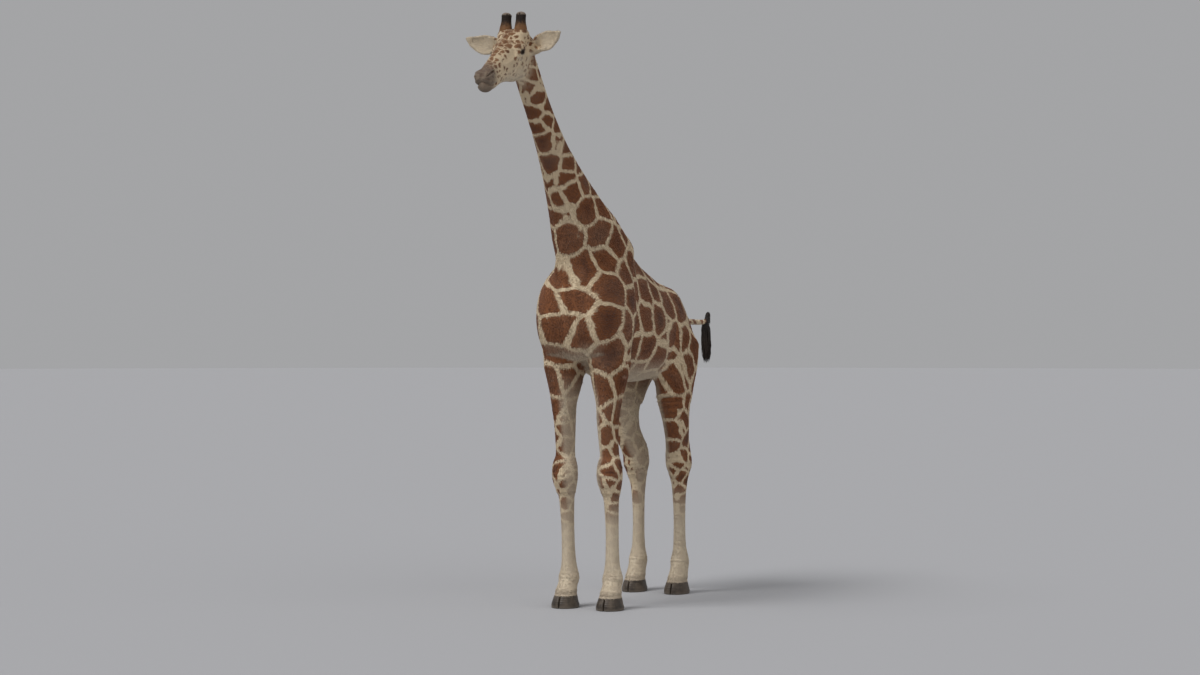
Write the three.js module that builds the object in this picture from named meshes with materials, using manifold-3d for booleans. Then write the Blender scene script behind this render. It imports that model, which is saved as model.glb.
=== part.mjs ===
// A bull giraffe standing square on level ground: neck raised forward, head level with the line of
// travel, tail carried straight back. The body is one smooth form, parted by thin plane cuts.
// Millimetres. x runs to the animal's left, y from head to tail, z up; y here is counted from the
// middle of the front hooves, and the finished group is moved so that y = 0 halves its length.
import * as THREE from "three";
import { mergeVertices } from "three/addons/utils/BufferGeometryUtils.js";
import Module from "manifold-3d";

// ---- driving sizes ------------------------------------------------------------------------------
const FRONT_FEET_Y = -351; // the front hooves' middle, from the middle of the whole length
const GAP = 0.3; // between neighbouring solids
const LEG_TOP = 1860; // the legs part from the trunk at this height
const SHOULDER_Y = 330; // chest | barrel
const LOIN_Y = 985; // barrel | hindquarters
const TAIL_ROOT_Y = 1690; // hindquarters | tail
const NECK_ROOT = { y: 50, z: 3030, lean: 43 }; // the plane that parts neck and chest, degrees
const POLL = { y: -1090, z: 4430, lean: 56 }; // the plane that parts neck and head
const NECK_CUTS = [0.3, 0.58, 0.8]; // the neck's lengths, as shares of its run
const EYE = { x: 116, y: -1412, z: 4588, r: 27 };
const CLEFT = 7; // between the two toes of a foot
const FETLOCK_TOP = 365;
const CORONET = 108; // where the hoof begins
const LEG_SIDES = 12;
const TUFT_Y = 2330; // where the tail's long hair begins
const MANE = { height: 74, halfWidth: 24 };
const TORSO_LINE = { fore: 2480, hind: 2400 }; // heights inside the trunk that its rings start from
const STUB_HEIGHT = 160; // how far the top of each leg runs up inside the trunk
const STUB_REACH = { fore: 200, hind: 330 };

// rows of the trunk: y, top, bottom, half width, egg (how much wider the lower half is)
const TRUNK = [
  [-200, 2800, 2140, 260, 0],
  [50, 3020, 2020, 330, 0.05],
  [350, 3100, 1950, 350, 0.1],
  [650, 3008, 1915, 365, 0.14],
  [950, 2902, 1922, 365, 0.14],
  [1200, 2826, 1965, 318, 0.08],
  [1390, 2762, 2060, 235, 0],
  [1520, 2610, 2180, 130, 0],
];
// rows of the neck and head: y, z, half width, half depth, egg
const NECK = [
  [160, 2930, 290, 380, 0.25],
  [-100, 3170, 275, 345, 0.25],
  [-284, 3395, 222, 258, 0.2],
  [-495, 3652, 163, 188, 0.15],
  [-665, 3868, 131, 148, 0.12],
  [-793, 4033, 117, 131, 0.1],
  [-922, 4202, 107, 120, 0.08],
  [-1025, 4346, 102, 122, 0.05],
  [-1120, 4495, 98, 122, 0],
  [-1195, 4610, 92, 104, 0],
];
const FACE = [
  [-1210, 4640, 100, 118, 0],
  [-1330, 4612, 124, 140, -0.1],
  [-1440, 4556, 116, 134, -0.12],
  [-1550, 4490, 92, 112, -0.05],
  [-1660, 4424, 76, 92, 0],
  [-1744, 4364, 79, 82, 0],
  [-1796, 4328, 77, 70, 0],
];
const JAW = [
  [-1262, 4500, 74, 90, 0],
  [-1360, 4468, 80, 104, 0],
  [-1480, 4428, 70, 76, 0],
  [-1600, 4375, 54, 52, 0],
  [-1715, 4318, 54, 48, 0],
  [-1782, 4284, 56, 46, 0],
];
// rows of the limbs: z, x, half width, y at the front, y at the back
const FORELEG = [
  [2210, 222, 150, -240, 160],
  [2100, 218, 172, -240, 200],
  [1950, 212, 148, -214, 170],
  [1770, 214, 105, -185, 115],
  [1600, 206, 87, -165, 95],
  [1430, 208, 80, -135, 90],
  [1310, 212, 82, -115, 88],
  [1220, 214, 108, -130, 95],
  [1120, 214, 112, -130, 97],
  [1020, 214, 90, -90, 98],
  [940, 214, 68, -60, 95],
  [680, 213, 58, -28, 98],
  [440, 210, 60, -25, 112],
  [340, 209, 70, -35, 130],
  [260, 210, 90, -45, 145],
  [200, 212, 83, -60, 125],
  [130, 214, 92, -96, 108],
  [70, 214, 106, -126, 118],
  [25, 214, 118, -146, 126],
  [0, 214, 116, -138, 124],
];
const HINDLEG = [
  [2280, 195, 165, 1020, 1700],
  [2050, 220, 155, 1000, 1620],
  [1820, 238, 143, 985, 1500],
  [1740, 247, 131, 1005, 1455],
  [1610, 252, 112, 1065, 1430],
  [1465, 247, 99, 1120, 1455],
  [1360, 228, 98, 1180, 1495],
  [1270, 214, 108, 1225, 1535],
  [1170, 214, 113, 1255, 1550],
  [1100, 212, 95, 1290, 1530],
  [1000, 208, 72, 1330, 1520],
  [860, 206, 60, 1355, 1500],
  [660, 206, 54, 1368, 1500],
  [440, 207, 57, 1360, 1505],
  [370, 209, 66, 1350, 1515],
  [290, 210, 83, 1330, 1530],
  [220, 212, 78, 1310, 1520],
  [130, 212.5, 86, 1268, 1490],
  [70, 212.5, 101, 1232, 1500],
  [25, 212.5, 111, 1212, 1508],
  [0, 212.5, 109, 1220, 1506],
];
// rows of the tail, its hair, an ear and an ossicone: x, y, z, half width, half depth
const TAIL = [
  [0, 1560, 2520, 70, 90],
  [0, 1720, 2500, 46, 56],
  [0, 1950, 2475, 34, 38],
  [0, 2250, 2466, 28, 31],
  [0, 2420, 2468, 27, 29],
  [0, 2500, 2486, 25, 26],
  [0, 2535, 2530, 22, 22],
];
const TUFT = [
  [0, 2440, 2478, 32, 50],
  [0, 2480, 2420, 40, 66],
  [0, 2494, 2340, 46, 57],
  [0, 2500, 2240, 47, 50],
  [0, 2502, 2150, 40, 43],
  [0, 2504, 2070, 18, 20],
];
const EAR = [
  [120, -1240, 4640, 48, 62],
  [165, -1252, 4650, 42, 60],
  [219, -1270, 4679, 28, 74],
  [293, -1290, 4690, 20, 82],
  [368, -1315, 4712, 17, 52],
  [405, -1328, 4732, 13, 30],
  [424, -1334, 4742, 10, 14],
];
const OSSICONE = [
  [68, -1330, 4735, 54, 58],
  [68, -1328, 4790, 52, 54],
  [66, -1324, 4835, 44, 46],
  [66, -1320, 4876, 40, 41],
  [66, -1317, 4905, 41, 42],
];

// ---- the form: signed distances, negative inside ------------------------------------------------
const union = (a, b, blend) => {
  const h = Math.max(blend - Math.abs(a - b), 0) / blend;
  return Math.min(a, b) - (h * h * blend) / 4;
};

const rowCurve = (rows, steps) => {
  const ends = [rows[0].map((v, i) => 2 * v - rows[1][i]), ...rows];
  ends.push(rows.at(-1).map((v, i) => 2 * v - rows.at(-2)[i]));
  const out = [];
  for (let k = 1; k < ends.length - 2; k++) {
    for (let j = 0; j < steps; j++) {
      const t = j / steps;
      out.push(rows[0].map((_, i) => {
        const [a, b, c, d] = [ends[k - 1][i], ends[k][i], ends[k + 1][i], ends[k + 2][i]];
        return b + (t * (c - a + t * (2 * a - 5 * b + 4 * c - d + t * (3 * b - a - 3 * c + d)))) / 2;
      }));
    }
  }
  out.push([...rows.at(-1)]);
  return out;
};

// A tube of elliptical section along rows of x, y, z, half width, half depth, egg. `face` is the
// direction that the half width is measured in.
const SIDEWAYS = new THREE.Vector3(1, 0, 0);
const tube = (rows, cap, face = SIDEWAYS) => {
  const nodes = rowCurve(rows.map((r) => [...r, 0].slice(0, 6)), 5);
  const spine = nodes.map((r) => new THREE.Vector3(r[0], r[1], r[2]));
  const frames = spine.map((_, i) => {
    const along = spine[Math.min(i + 1, spine.length - 1)].clone();
    along.sub(spine[Math.max(i - 1, 0)]).normalize();
    const wide = face.clone().addScaledVector(along, -face.dot(along)).normalize();
    return { wide, deep: wide.clone().cross(along) };
  });
  const box = new THREE.Box3().setFromPoints(spine);
  box.expandByScalar(250 + Math.max(...nodes.map((r) => Math.max(r[3], r[4]))));
  const q = new THREE.Vector3();
  const span = new THREE.Vector3();
  return (p) => {
    let best = 9000;
    if (!box.containsPoint(p)) return best;
    for (let i = 0; i + 1 < spine.length; i++) {
      span.subVectors(spine[i + 1], spine[i]);
      const length = span.length();
      const h = THREE.MathUtils.clamp(q.subVectors(p, spine[i]).dot(span) / (length * length), 0, 1);
      q.addScaledVector(span, -h);
      const mix = (a, b) => a + (b - a) * h;
      const v = mix(q.dot(frames[i].deep), q.dot(frames[i + 1].deep));
      const u = mix(q.dot(frames[i].wide), q.dot(frames[i + 1].wide));
      const w = q.dot(span) / length;
      const depth = mix(nodes[i][4], nodes[i + 1][4]);
      const egg = mix(nodes[i][5], nodes[i + 1][5]);
      const width = mix(nodes[i][3], nodes[i + 1][3]) * (1 - egg * THREE.MathUtils.clamp(v / depth, -1, 1));
      const k0 = Math.hypot(u / width, v / depth, w / cap) + 1e-9;
      const k1 = Math.hypot(u / width ** 2, v / depth ** 2, w / cap ** 2) + 1e-12;
      best = Math.min(best, (k0 * (k0 - 1)) / k1);
    }
    return best;
  };
};

// An ellipsoid: centre, radii, and its pitch about x, yaw about z and roll about y in degrees.
const lump = (centre, radii, pitch = 0, yaw = 0, roll = 0) => {
  const rad = THREE.MathUtils.degToRad;
  const turn = new THREE.Matrix4().makeRotationZ(rad(yaw));
  turn.multiply(new THREE.Matrix4().makeRotationX(rad(pitch)));
  turn.multiply(new THREE.Matrix4().makeRotationY(rad(roll)));
  turn.setPosition(...centre).invert();
  const q = new THREE.Vector3();
  return (p) => {
    q.copy(p).applyMatrix4(turn);
    const k0 = Math.hypot(q.x / radii[0], q.y / radii[1], q.z / radii[2]) + 1e-9;
    const k1 = Math.hypot(q.x / radii[0] ** 2, q.y / radii[1] ** 2, q.z / radii[2] ** 2) + 1e-12;
    return (k0 * (k0 - 1)) / k1;
  };
};

const inPlane = (rows) => rows.map((r) => [0, ...r]);
const trunkRow = ([y, top, low, w, egg]) => [0, y, (top + low) / 2, w, (top - low) / 2, egg];
const limbRow = ([z, x, w, front, back]) => [x, (front + back) / 2, z, w, (back - front) / 2];
const EAR_FACE = new THREE.Vector3(0.3, -0.95, 0.1).normalize();
const form = {
  trunk: tube(TRUNK.map(trunkRow), 130),
  neck: tube(inPlane(NECK), 120),
  foreleg: tube(FORELEG.map(limbRow), 50),
  hindleg: tube(HINDLEG.map(limbRow), 50),
  face: tube(inPlane(FACE), 46),
  jaw: tube(inPlane(JAW), 40),
  tail: tube(TAIL, 20),
  tuft: tube(TUFT, 40),
  ear: tube(EAR, 10, EAR_FACE),
  ossicone: tube(OSSICONE, 27),
  withers: lump([0, 350, 3050], [120, 320, 220], -25),
  shoulder: lump([215, -50, 2480], [200, 330, 420], 8),
  blade: lump([205, 130, 2780], [125, 240, 440], -25, 0, -10),
  breast: lump([0, -190, 2590], [255, 172, 440]),
  haunch: lump([195, 1318, 2270], [148, 300, 390], 12),
  buttock: lump([168, 1486, 2200], [120, 140, 235], 15),
  hip: lump([110, 1325, 2660], [98, 150, 100]),
  hockPoint: lump([214, 1530, 1220], [45, 50, 90], -10),
  brow: lump([96, -1398, 4630], [46, 66, 46], 30),
  orbit: lump([98, -1412, 4592], [34, 58, 44], 25),
  crown: lump([0, -1320, 4700], [122, 116, 92], 10),
  hornBase: lump([74, -1328, 4738], [62, 62, 68]),
  poll: lump([42, -1196, 4688], [58, 70, 66], 20),
  nose: lump([34, -1800, 4372], [44, 56, 44], 30),
};

// Both sides are alike, so every form is read on the left. The last number of each union is the
// width over which the two forms melt together.
const folded = new THREE.Vector3();
const fold = (p) => folded.set(Math.abs(p.x), p.y, p.z);
const headField = (p) => {
  const q = fold(p);
  let d = union(form.face(q), form.jaw(q), 50);
  d = union(d, union(form.brow(q), form.orbit(q), 30), 36);
  d = union(d, form.hornBase(q), 30);
  d = union(d, form.crown(q), 50);
  d = union(d, form.poll(q), 60);
  d = union(d, form.nose(q), 24);
  return d;
};
const bodyField = (p) => {
  const head = headField(p);
  const q = fold(p);
  let d = union(form.trunk(q), form.neck(q), 200);
  d = union(d, form.withers(q), 150);
  d = union(d, form.breast(q), 120);
  d = union(d, union(form.shoulder(q), form.blade(q), 120), 70);
  d = union(d, union(form.haunch(q), form.buttock(q), 100), 110);
  d = union(d, form.hip(q), 130);
  d = union(d, form.foreleg(q), 70);
  d = union(d, union(form.hindleg(q), form.hockPoint(q), 50), 100);
  d = union(d, form.tail(q), 50);
  return union(d, head, 80);
};

// ---- meshing: rings of points found by rays from a line inside the form -------------------------
// A ring: its centre, the axis it is square to, and a tilt that leans its rays along the axis.
const UP = new THREE.Vector3(0, 0, 1);
const DOWN = new THREE.Vector3(0, 0, -1);
const BACKWARD = new THREE.Vector3(0, 1, 0);
const ring = (centre, axis, tilt = 0) => ({ centre, axis: axis.clone().normalize(), tilt });
const point = (y, z, x = 0) => new THREE.Vector3(x, y, z);
const leaning = (degrees) => {
  const a = THREE.MathUtils.degToRad(degrees);
  return new THREE.Vector3(0, -Math.cos(a), Math.sin(a));
};

const surfaceAlong = (field, from, ray, reach) => {
  const p = new THREE.Vector3();
  const at = (t) => field(p.copy(from).addScaledVector(ray, t));
  let near = 0;
  let far = 2;
  while (far < reach && at(far) < 0) {
    near = far;
    far += Math.max(2, -0.6 * at(far));
  }
  for (let i = 0; i < 14; i++) {
    const mid = (near + far) / 2;
    if (at(mid) < 0) near = mid;
    else far = mid;
  }
  return from.clone().addScaledVector(ray, Math.min((near + far) / 2, reach));
};

const sleeve = (field, rings, sides, { reach = 900, up = UP } = {}) => {
  const loops = rings.map(({ centre, axis, tilt }) => {
    if (Math.abs(tilt) === 90) {
      const straight = axis.clone().multiplyScalar(Math.sign(tilt));
      return [surfaceAlong(field, centre, straight, reach)];
    }
    const top = up.clone().addScaledVector(axis, -up.dot(axis)).normalize();
    const side = axis.clone().cross(top);
    const lean = THREE.MathUtils.degToRad(tilt);
    return Array.from({ length: sides }, (_, k) => {
      const a = (2 * Math.PI * (k + 0.5)) / sides;
      const ray = axis.clone().multiplyScalar(Math.sin(lean));
      ray.addScaledVector(top, Math.cos(lean) * Math.cos(a));
      ray.addScaledVector(side, Math.cos(lean) * Math.sin(a));
      return surfaceAlong(field, centre, ray, reach);
    });
  });
  if (loops[0].length > 1) loops.unshift([rings[0].centre.clone()]);
  if (loops.at(-1).length > 1) loops.push([rings.at(-1).centre.clone()]);
  const corners = [];
  const add = (a, b, c) => corners.push(...a.toArray(), ...b.toArray(), ...c.toArray());
  for (let i = 0; i + 1 < loops.length; i++) {
    for (let k = 0; k < sides; k++) {
      const [a, b] = [loops[i], loops[i + 1]].map((l) => l[k % l.length]);
      const [c, d] = [loops[i], loops[i + 1]].map((l) => l[(k + 1) % l.length]);
      if (a !== c) add(a, c, b);
      if (b !== d) add(c, d, b);
    }
  }
  const shape = new THREE.BufferGeometry();
  shape.setAttribute("position", new THREE.Float32BufferAttribute(corners, 3));
  return mergeVertices(shape, 1e-3);
};

const dome = (centre, axis, tilts) => tilts.map((tilt) => ring(centre, axis, tilt));
const capped = (rings, tilts = [45, 90]) => {
  const { centre, axis } = rings.at(-1);
  return [...rings, ...dome(centre, axis, tilts)];
};

// ---- joining and cutting ------------------------------------------------------------------------
const wasm = await Module();
wasm.setup();
const solid = (shape) => {
  const bare = new THREE.BufferGeometry();
  bare.setAttribute("position", shape.getAttribute("position").clone());
  bare.setIndex(shape.getIndex());
  const merged = mergeVertices(bare, 1e-3);
  return new wasm.Manifold(new wasm.Mesh({
    numProp: 3,
    vertProperties: new Float32Array(merged.getAttribute("position").array),
    triVerts: new Uint32Array(merged.getIndex().array),
  }));
};
const geometry = (body) => {
  const mesh = body.getMesh();
  const shape = new THREE.BufferGeometry();
  shape.setAttribute("position", new THREE.Float32BufferAttribute(mesh.vertProperties, 3));
  shape.setIndex(new THREE.BufferAttribute(mesh.triVerts, 1));
  return shape;
};
// The half space behind a plane, as a big block: `at` is on the plane and `away` points out of it.
const BLOCK = 12000;
const behind = (at, away) => {
  const block = new THREE.BoxGeometry(BLOCK, BLOCK, BLOCK);
  ["normal", "uv"].forEach((name) => block.deleteAttribute(name));
  block.translate(0, 0, -BLOCK / 2);
  block.applyQuaternion(new THREE.Quaternion().setFromUnitVectors(UP, away.clone().normalize()));
  block.translate(at.x, at.y, at.z);
  return solid(block);
};
const swollen = (shape, by = GAP) => {
  const fat = shape.clone();
  fat.computeVertexNormals();
  const [place, normal] = [fat.getAttribute("position"), fat.getAttribute("normal")];
  for (let i = 0; i < place.count; i++) {
    const [x, y, z] = ["X", "Y", "Z"].map((k) => place[`get${k}`](i) + by * normal[`get${k}`](i));
    place.setXYZ(i, x, y, z);
  }
  return solid(fat);
};
const mirror = (shape) => {
  const other = shape.clone().applyMatrix4(new THREE.Matrix4().makeScale(-1, 1, 1));
  const index = other.getIndex().array;
  for (let i = 0; i < index.length; i += 3) [index[i], index[i + 1]] = [index[i + 1], index[i]];
  return other;
};

// ---- finishes -----------------------------------------------------------------------------------
const COAT = { color: "#b8783c", roughness: 0.85, metalness: 0 };
const PALE_COAT = { color: "#d9bd8c", roughness: 0.85, metalness: 0 };
const HAIR = { color: "#4a2f1c", roughness: 0.8, metalness: 0 };
const BLACK_HAIR = { color: "#1b1512", roughness: 0.75, metalness: 0 };
const HORN = { color: "#4f4034", roughness: 0.55, metalness: 0 };
const EYE_DARK = { color: "#15100c", roughness: 0.12, metalness: 0 };

const giraffe = new THREE.Group();
giraffe.position.y = FRONT_FEET_Y;
const place = (name, shape, finish) => {
  const mesh = new THREE.Mesh(shape, new THREE.MeshStandardMaterial(finish));
  mesh.name = name;
  giraffe.add(mesh);
};

// ---- trunk --------------------------------------------------------------------------------------
const limbRing = (rows, z) => {
  const next = Math.max(1, rows.findIndex((row) => row[0] <= z));
  const [a, b] = [rows[next - 1], rows[next]];
  const at = (i) => THREE.MathUtils.mapLinear(z, a[0], b[0], a[i], b[i]);
  return ring(point((at(3) + at(4)) / 2, z, at(1)), DOWN);
};
const limbRings = (rows, from, to, count) => {
  const heights = Array.from({ length: count + 1 }, (_, k) => THREE.MathUtils.lerp(from, to, k / count));
  return heights.map((z) => limbRing(rows, z));
};
const limbSleeve = (field, rings, reach = 420) =>
  sleeve(field, rings, LEG_SIDES, { reach, up: BACKWARD });

const neckAxis = leaning(NECK_ROOT.lean);
const neckRoot = point(NECK_ROOT.y, NECK_ROOT.z);
// the trunk alone: cut off a little past the neck's root, the legs' tops and the tail's root
const torsoField = (p) => {
  const pastNeck = p.clone().sub(neckRoot).dot(neckAxis) - 240;
  return Math.max(bodyField(p), LEG_TOP + 30 - p.z, pastNeck, p.y - TAIL_ROOT_Y - 60);
};
const TORSO_RINGS = [-100, 0, 110, 230, 330, 450, 600, 790, 985, 1130, 1270, 1390];
const torsoRings = [
  ...dome(point(TORSO_RINGS[0], TORSO_LINE.fore + 20), BACKWARD, [-90, -68, -48, -30, -14]),
  ...TORSO_RINGS.map((y) => ring(point(y, y <= LOIN_Y ? TORSO_LINE.fore : TORSO_LINE.hind), BACKWARD)),
  ...dome(point(TORSO_RINGS.at(-1), TORSO_LINE.hind), BACKWARD, [18, 36, 54, 72, 90]),
];
const stubs = [[FORELEG, STUB_REACH.fore], [HINDLEG, STUB_REACH.hind]].flatMap(([rows, reach]) => {
  const rings = limbRings(rows, LEG_TOP + STUB_HEIGHT, LEG_TOP + GAP / 2, 1);
  const stub = limbSleeve(bodyField, [...dome(rings[0].centre, DOWN, [-90, -40]), ...rings], reach);
  return [solid(stub), solid(mirror(stub))];
});
const torso = stubs.reduce((whole, stub) => whole.add(stub), solid(sleeve(torsoField, torsoRings, 28)))
  .intersect(behind(neckRoot, neckAxis))
  .intersect(behind(point(TAIL_ROOT_Y, 0), BACKWARD));
const between = (body, from, to) => body
  .intersect(behind(point(from + GAP / 2, 0), BACKWARD.clone().negate()))
  .intersect(behind(point(to - GAP / 2, 0), BACKWARD));
place("chest", geometry(between(torso, -2000, SHOULDER_Y)), COAT);
place("barrel", geometry(between(torso, SHOULDER_Y, LOIN_Y)), COAT);
place("hindquarters", geometry(between(torso, LOIN_Y, 3000)), COAT);

// ---- neck and mane ------------------------------------------------------------------------------
const poll = point(POLL.y, POLL.z);
const neckLine = new THREE.CatmullRomCurve3([
  neckRoot,
  ...NECK.slice(2, 8).map(([y, z]) => point(y, z)),
  poll,
]);
const neckRing = (t) =>
  ring(neckLine.getPointAt(t), leaning(THREE.MathUtils.lerp(NECK_ROOT.lean, POLL.lean, t)));
const backOf = (axis) => BACKWARD.clone().addScaledVector(axis, -BACKWARD.dot(axis)).normalize();
// the mane's height along the neck, as a share of its full height: low at the withers
const maneRise = (t) => 0.3 + 0.7 * THREE.MathUtils.smoothstep(t, 0, 0.3);
const NECK_STEPS = 4; // rings to each length of the neck
const neckCuts = [0, ...NECK_CUTS, 1];
["base", "lower", "middle", "upper"].forEach((name, i) => {
  const shares = Array.from({ length: NECK_STEPS + 1 }, (_, k) =>
    THREE.MathUtils.lerp(neckCuts[i], neckCuts[i + 1], k / NECK_STEPS));
  const rings = shares.map(neckRing);
  rings[0].centre.addScaledVector(rings[0].axis, GAP / 2);
  rings[NECK_STEPS].centre.addScaledVector(rings[NECK_STEPS].axis, -GAP / 2);
  const shape = sleeve(bodyField, rings, 24, { reach: 620 });
  place(`neck_${name}`, shape, COAT);
  const napes = rings.map((r) => surfaceAlong(bodyField, r.centre, backOf(r.axis), 620));
  const rows = napes.map((n, k) => [n.x, n.y, n.z, MANE.halfWidth, MANE.height * maneRise(shares[k])]);
  const crestRings = rings.map((r, k) => ring(napes[k], r.axis));
  const crest = sleeve(tube(rows, 60), crestRings, 8, { reach: 120 });
  place(`mane_${name}`, geometry(solid(crest).subtract(swollen(shape))), HAIR);
});

// ---- head ---------------------------------------------------------------------------------------
const HEAD_AXIS = new THREE.Vector3(0, -0.885, -0.466);
const pollAxis = neckRing(1).axis;
const headForm = (p) => Math.max(bodyField(p), -170 - p.clone().sub(poll).dot(pollAxis));
const headLine = (t) => point(-1235 - 505 * t, 4585 - 232 * t);
const headRings = [
  ...dome(headLine(0), HEAD_AXIS, [-90, -66, -44, -22]),
  ...[0, 0.14, 0.27, 0.4, 0.52, 0.64, 0.76, 0.88, 1].map((t) => ring(headLine(t), HEAD_AXIS)),
  ...dome(headLine(1), HEAD_AXIS, [24, 46, 68, 90]),
];
const eyeball = (r) => {
  const ball = new THREE.SphereGeometry(r, 12, 6).translate(EYE.x, EYE.y, EYE.z);
  ["normal", "uv"].forEach((name) => ball.deleteAttribute(name));
  return mergeVertices(ball, 1e-3);
};
const wholeHead = solid(sleeve(headForm, headRings, 28, { reach: 500 }))
  .intersect(behind(poll.clone().addScaledVector(pollAxis, GAP / 2), pollAxis.clone().negate()));
const bareEyes = [eyeball(EYE.r + GAP), mirror(eyeball(EYE.r + GAP))].map(solid);
const head = geometry(wholeHead.subtract(bareEyes[0]).subtract(bareEyes[1]));
place("head", head, COAT);

const aroundHead = swollen(geometry(wholeHead));
const POLL_TURNS = [0, 20, 42, 64]; // the crest over the poll, in degrees round the head's middle
const pollRings = POLL_TURNS.map((degrees) => {
  const turn = new THREE.Matrix4().makeRotationX(THREE.MathUtils.degToRad(degrees));
  const centre = poll.clone().addScaledVector(pollAxis, GAP / 2);
  centre.lerp(headLine(0), Math.min(1, degrees / 30));
  const back = backOf(pollAxis).applyMatrix4(turn);
  return ring(surfaceAlong(headForm, centre, back, 400), pollAxis.clone().applyMatrix4(turn));
});
const pollRows = pollRings.map(({ centre }, k) =>
  [...centre.toArray(), MANE.halfWidth, MANE.height * (1 - 0.2 * k)]);
const pollCrest = sleeve(tube(pollRows, 40), capped(pollRings), 8, { reach: 120 });
place("mane_poll", geometry(solid(pollCrest).subtract(aroundHead)), HAIR);
const alongRows = (rows, shares) => {
  const spine = new THREE.CatmullRomCurve3(rows.map(([x, y, z]) => point(y, z, x)));
  return shares.map((t) => ring(spine.getPointAt(t), spine.getTangentAt(t)));
};
const earRings = capped(alongRows(EAR, [0.02, 0.15, 0.3, 0.44, 0.58, 0.72, 0.86, 0.96]));
const earShape = sleeve(form.ear, earRings, 12, { reach: 150 });
const ossiconeRings = capped(alongRows(OSSICONE, [0.02, 0.3, 0.5, 0.68, 0.84, 1]), [40, 90]);
const ossiconeShape = sleeve(form.ossicone, ossiconeRings, 12, { reach: 150, up: BACKWARD });
const SIDES = [["left", (shape) => shape], ["right", mirror]];
for (const [side, turn] of SIDES) {
  place(`eye_${side}`, turn(eyeball(EYE.r)), EYE_DARK);
  place(`ear_${side}`, geometry(solid(turn(earShape)).subtract(aroundHead)), COAT);
  place(`ossicone_${side}`, geometry(solid(turn(ossiconeShape)).subtract(aroundHead)), HAIR);
}

// ---- tail ---------------------------------------------------------------------------------------
const tailRings = (from, to, count) => Array.from({ length: count + 1 }, (_, k) => {
  const y = THREE.MathUtils.lerp(from, to, k / count);
  const next = TAIL.findIndex((row) => row[1] > y);
  const [a, b] = [TAIL[next - 1], TAIL[next]];
  return ring(point(y, THREE.MathUtils.mapLinear(y, a[1], b[1], a[2], b[2])), BACKWARD);
});
const dock = tailRings(TAIL_ROOT_Y + GAP / 2, TUFT_Y - GAP / 2, 6);
place("tail", sleeve(bodyField, dock, 12, { reach: 200 }), COAT);
const tipRings = [...tailRings(TUFT_Y + GAP / 2, 2420, 2), ...alongRows(TAIL, [0.9, 0.98])];
const tip = sleeve(form.tail, capped(tipRings), 12, { reach: 90 });
const hairRings = alongRows(TUFT, [0.06, 0.2, 0.34, 0.5, 0.66, 0.82, 0.96]);
const hair = sleeve(form.tuft, capped(hairRings), 12, { reach: 120 });
place("tail_tuft", geometry(solid(tip).add(solid(hair))), BLACK_HAIR);

// ---- legs ---------------------------------------------------------------------------------------
const LIMBS = {
  fore: {
    rows: FORELEG,
    lengths: [["forearm", 1270, 6], ["knee", 965, 5], ["cannon", FETLOCK_TOP, 4], ["pastern", CORONET, 5]],
  },
  hind: {
    rows: HINDLEG,
    lengths: [["gaskin", 1330, 6], ["hock", 1010, 5], ["cannon", FETLOCK_TOP, 4], ["pastern", CORONET, 5]],
  },
};
const PALE = ["cannon", "pastern"];
for (const [end, { rows, lengths }] of Object.entries(LIMBS)) {
  const pieces = [];
  let top = LEG_TOP;
  for (const [name, low, count] of lengths) {
    const shape = limbSleeve(bodyField, limbRings(rows, top - GAP / 2, low + GAP / 2, count));
    pieces.push([name, shape, PALE.includes(name) ? PALE_COAT : COAT]);
    top = low;
  }
  const limbForm = end === "fore" ? form.foreleg : form.hindleg;
  const hoof = solid(limbSleeve(limbForm, limbRings(rows, CORONET - GAP / 2, 0, 4)));
  const middle = rows.at(-1)[1];
  for (const [name, sign] of [["hoof_outer", 1], ["hoof_inner", -1]]) {
    const wall = point(0, 0, middle + (sign * CLEFT) / 2);
    const toe = hoof.intersect(behind(wall, SIDEWAYS.clone().multiplyScalar(-sign)));
    pieces.push([name, geometry(toe), HORN]);
  }
  for (const [side, turn] of SIDES) {
    for (const [name, shape, finish] of pieces) place(`${end}_${side}_${name}`, turn(shape), finish);
  }
}

export default giraffe;
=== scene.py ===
"""A life-size bull giraffe standing square.

One skin with its markings under a short coat, and the eyes, ossicones, hooves, mane, tail tuft and lashes.
"""

import logging
import math
from collections.abc import Callable, Iterator, Sequence
from dataclasses import dataclass, field
from enum import Enum

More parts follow.
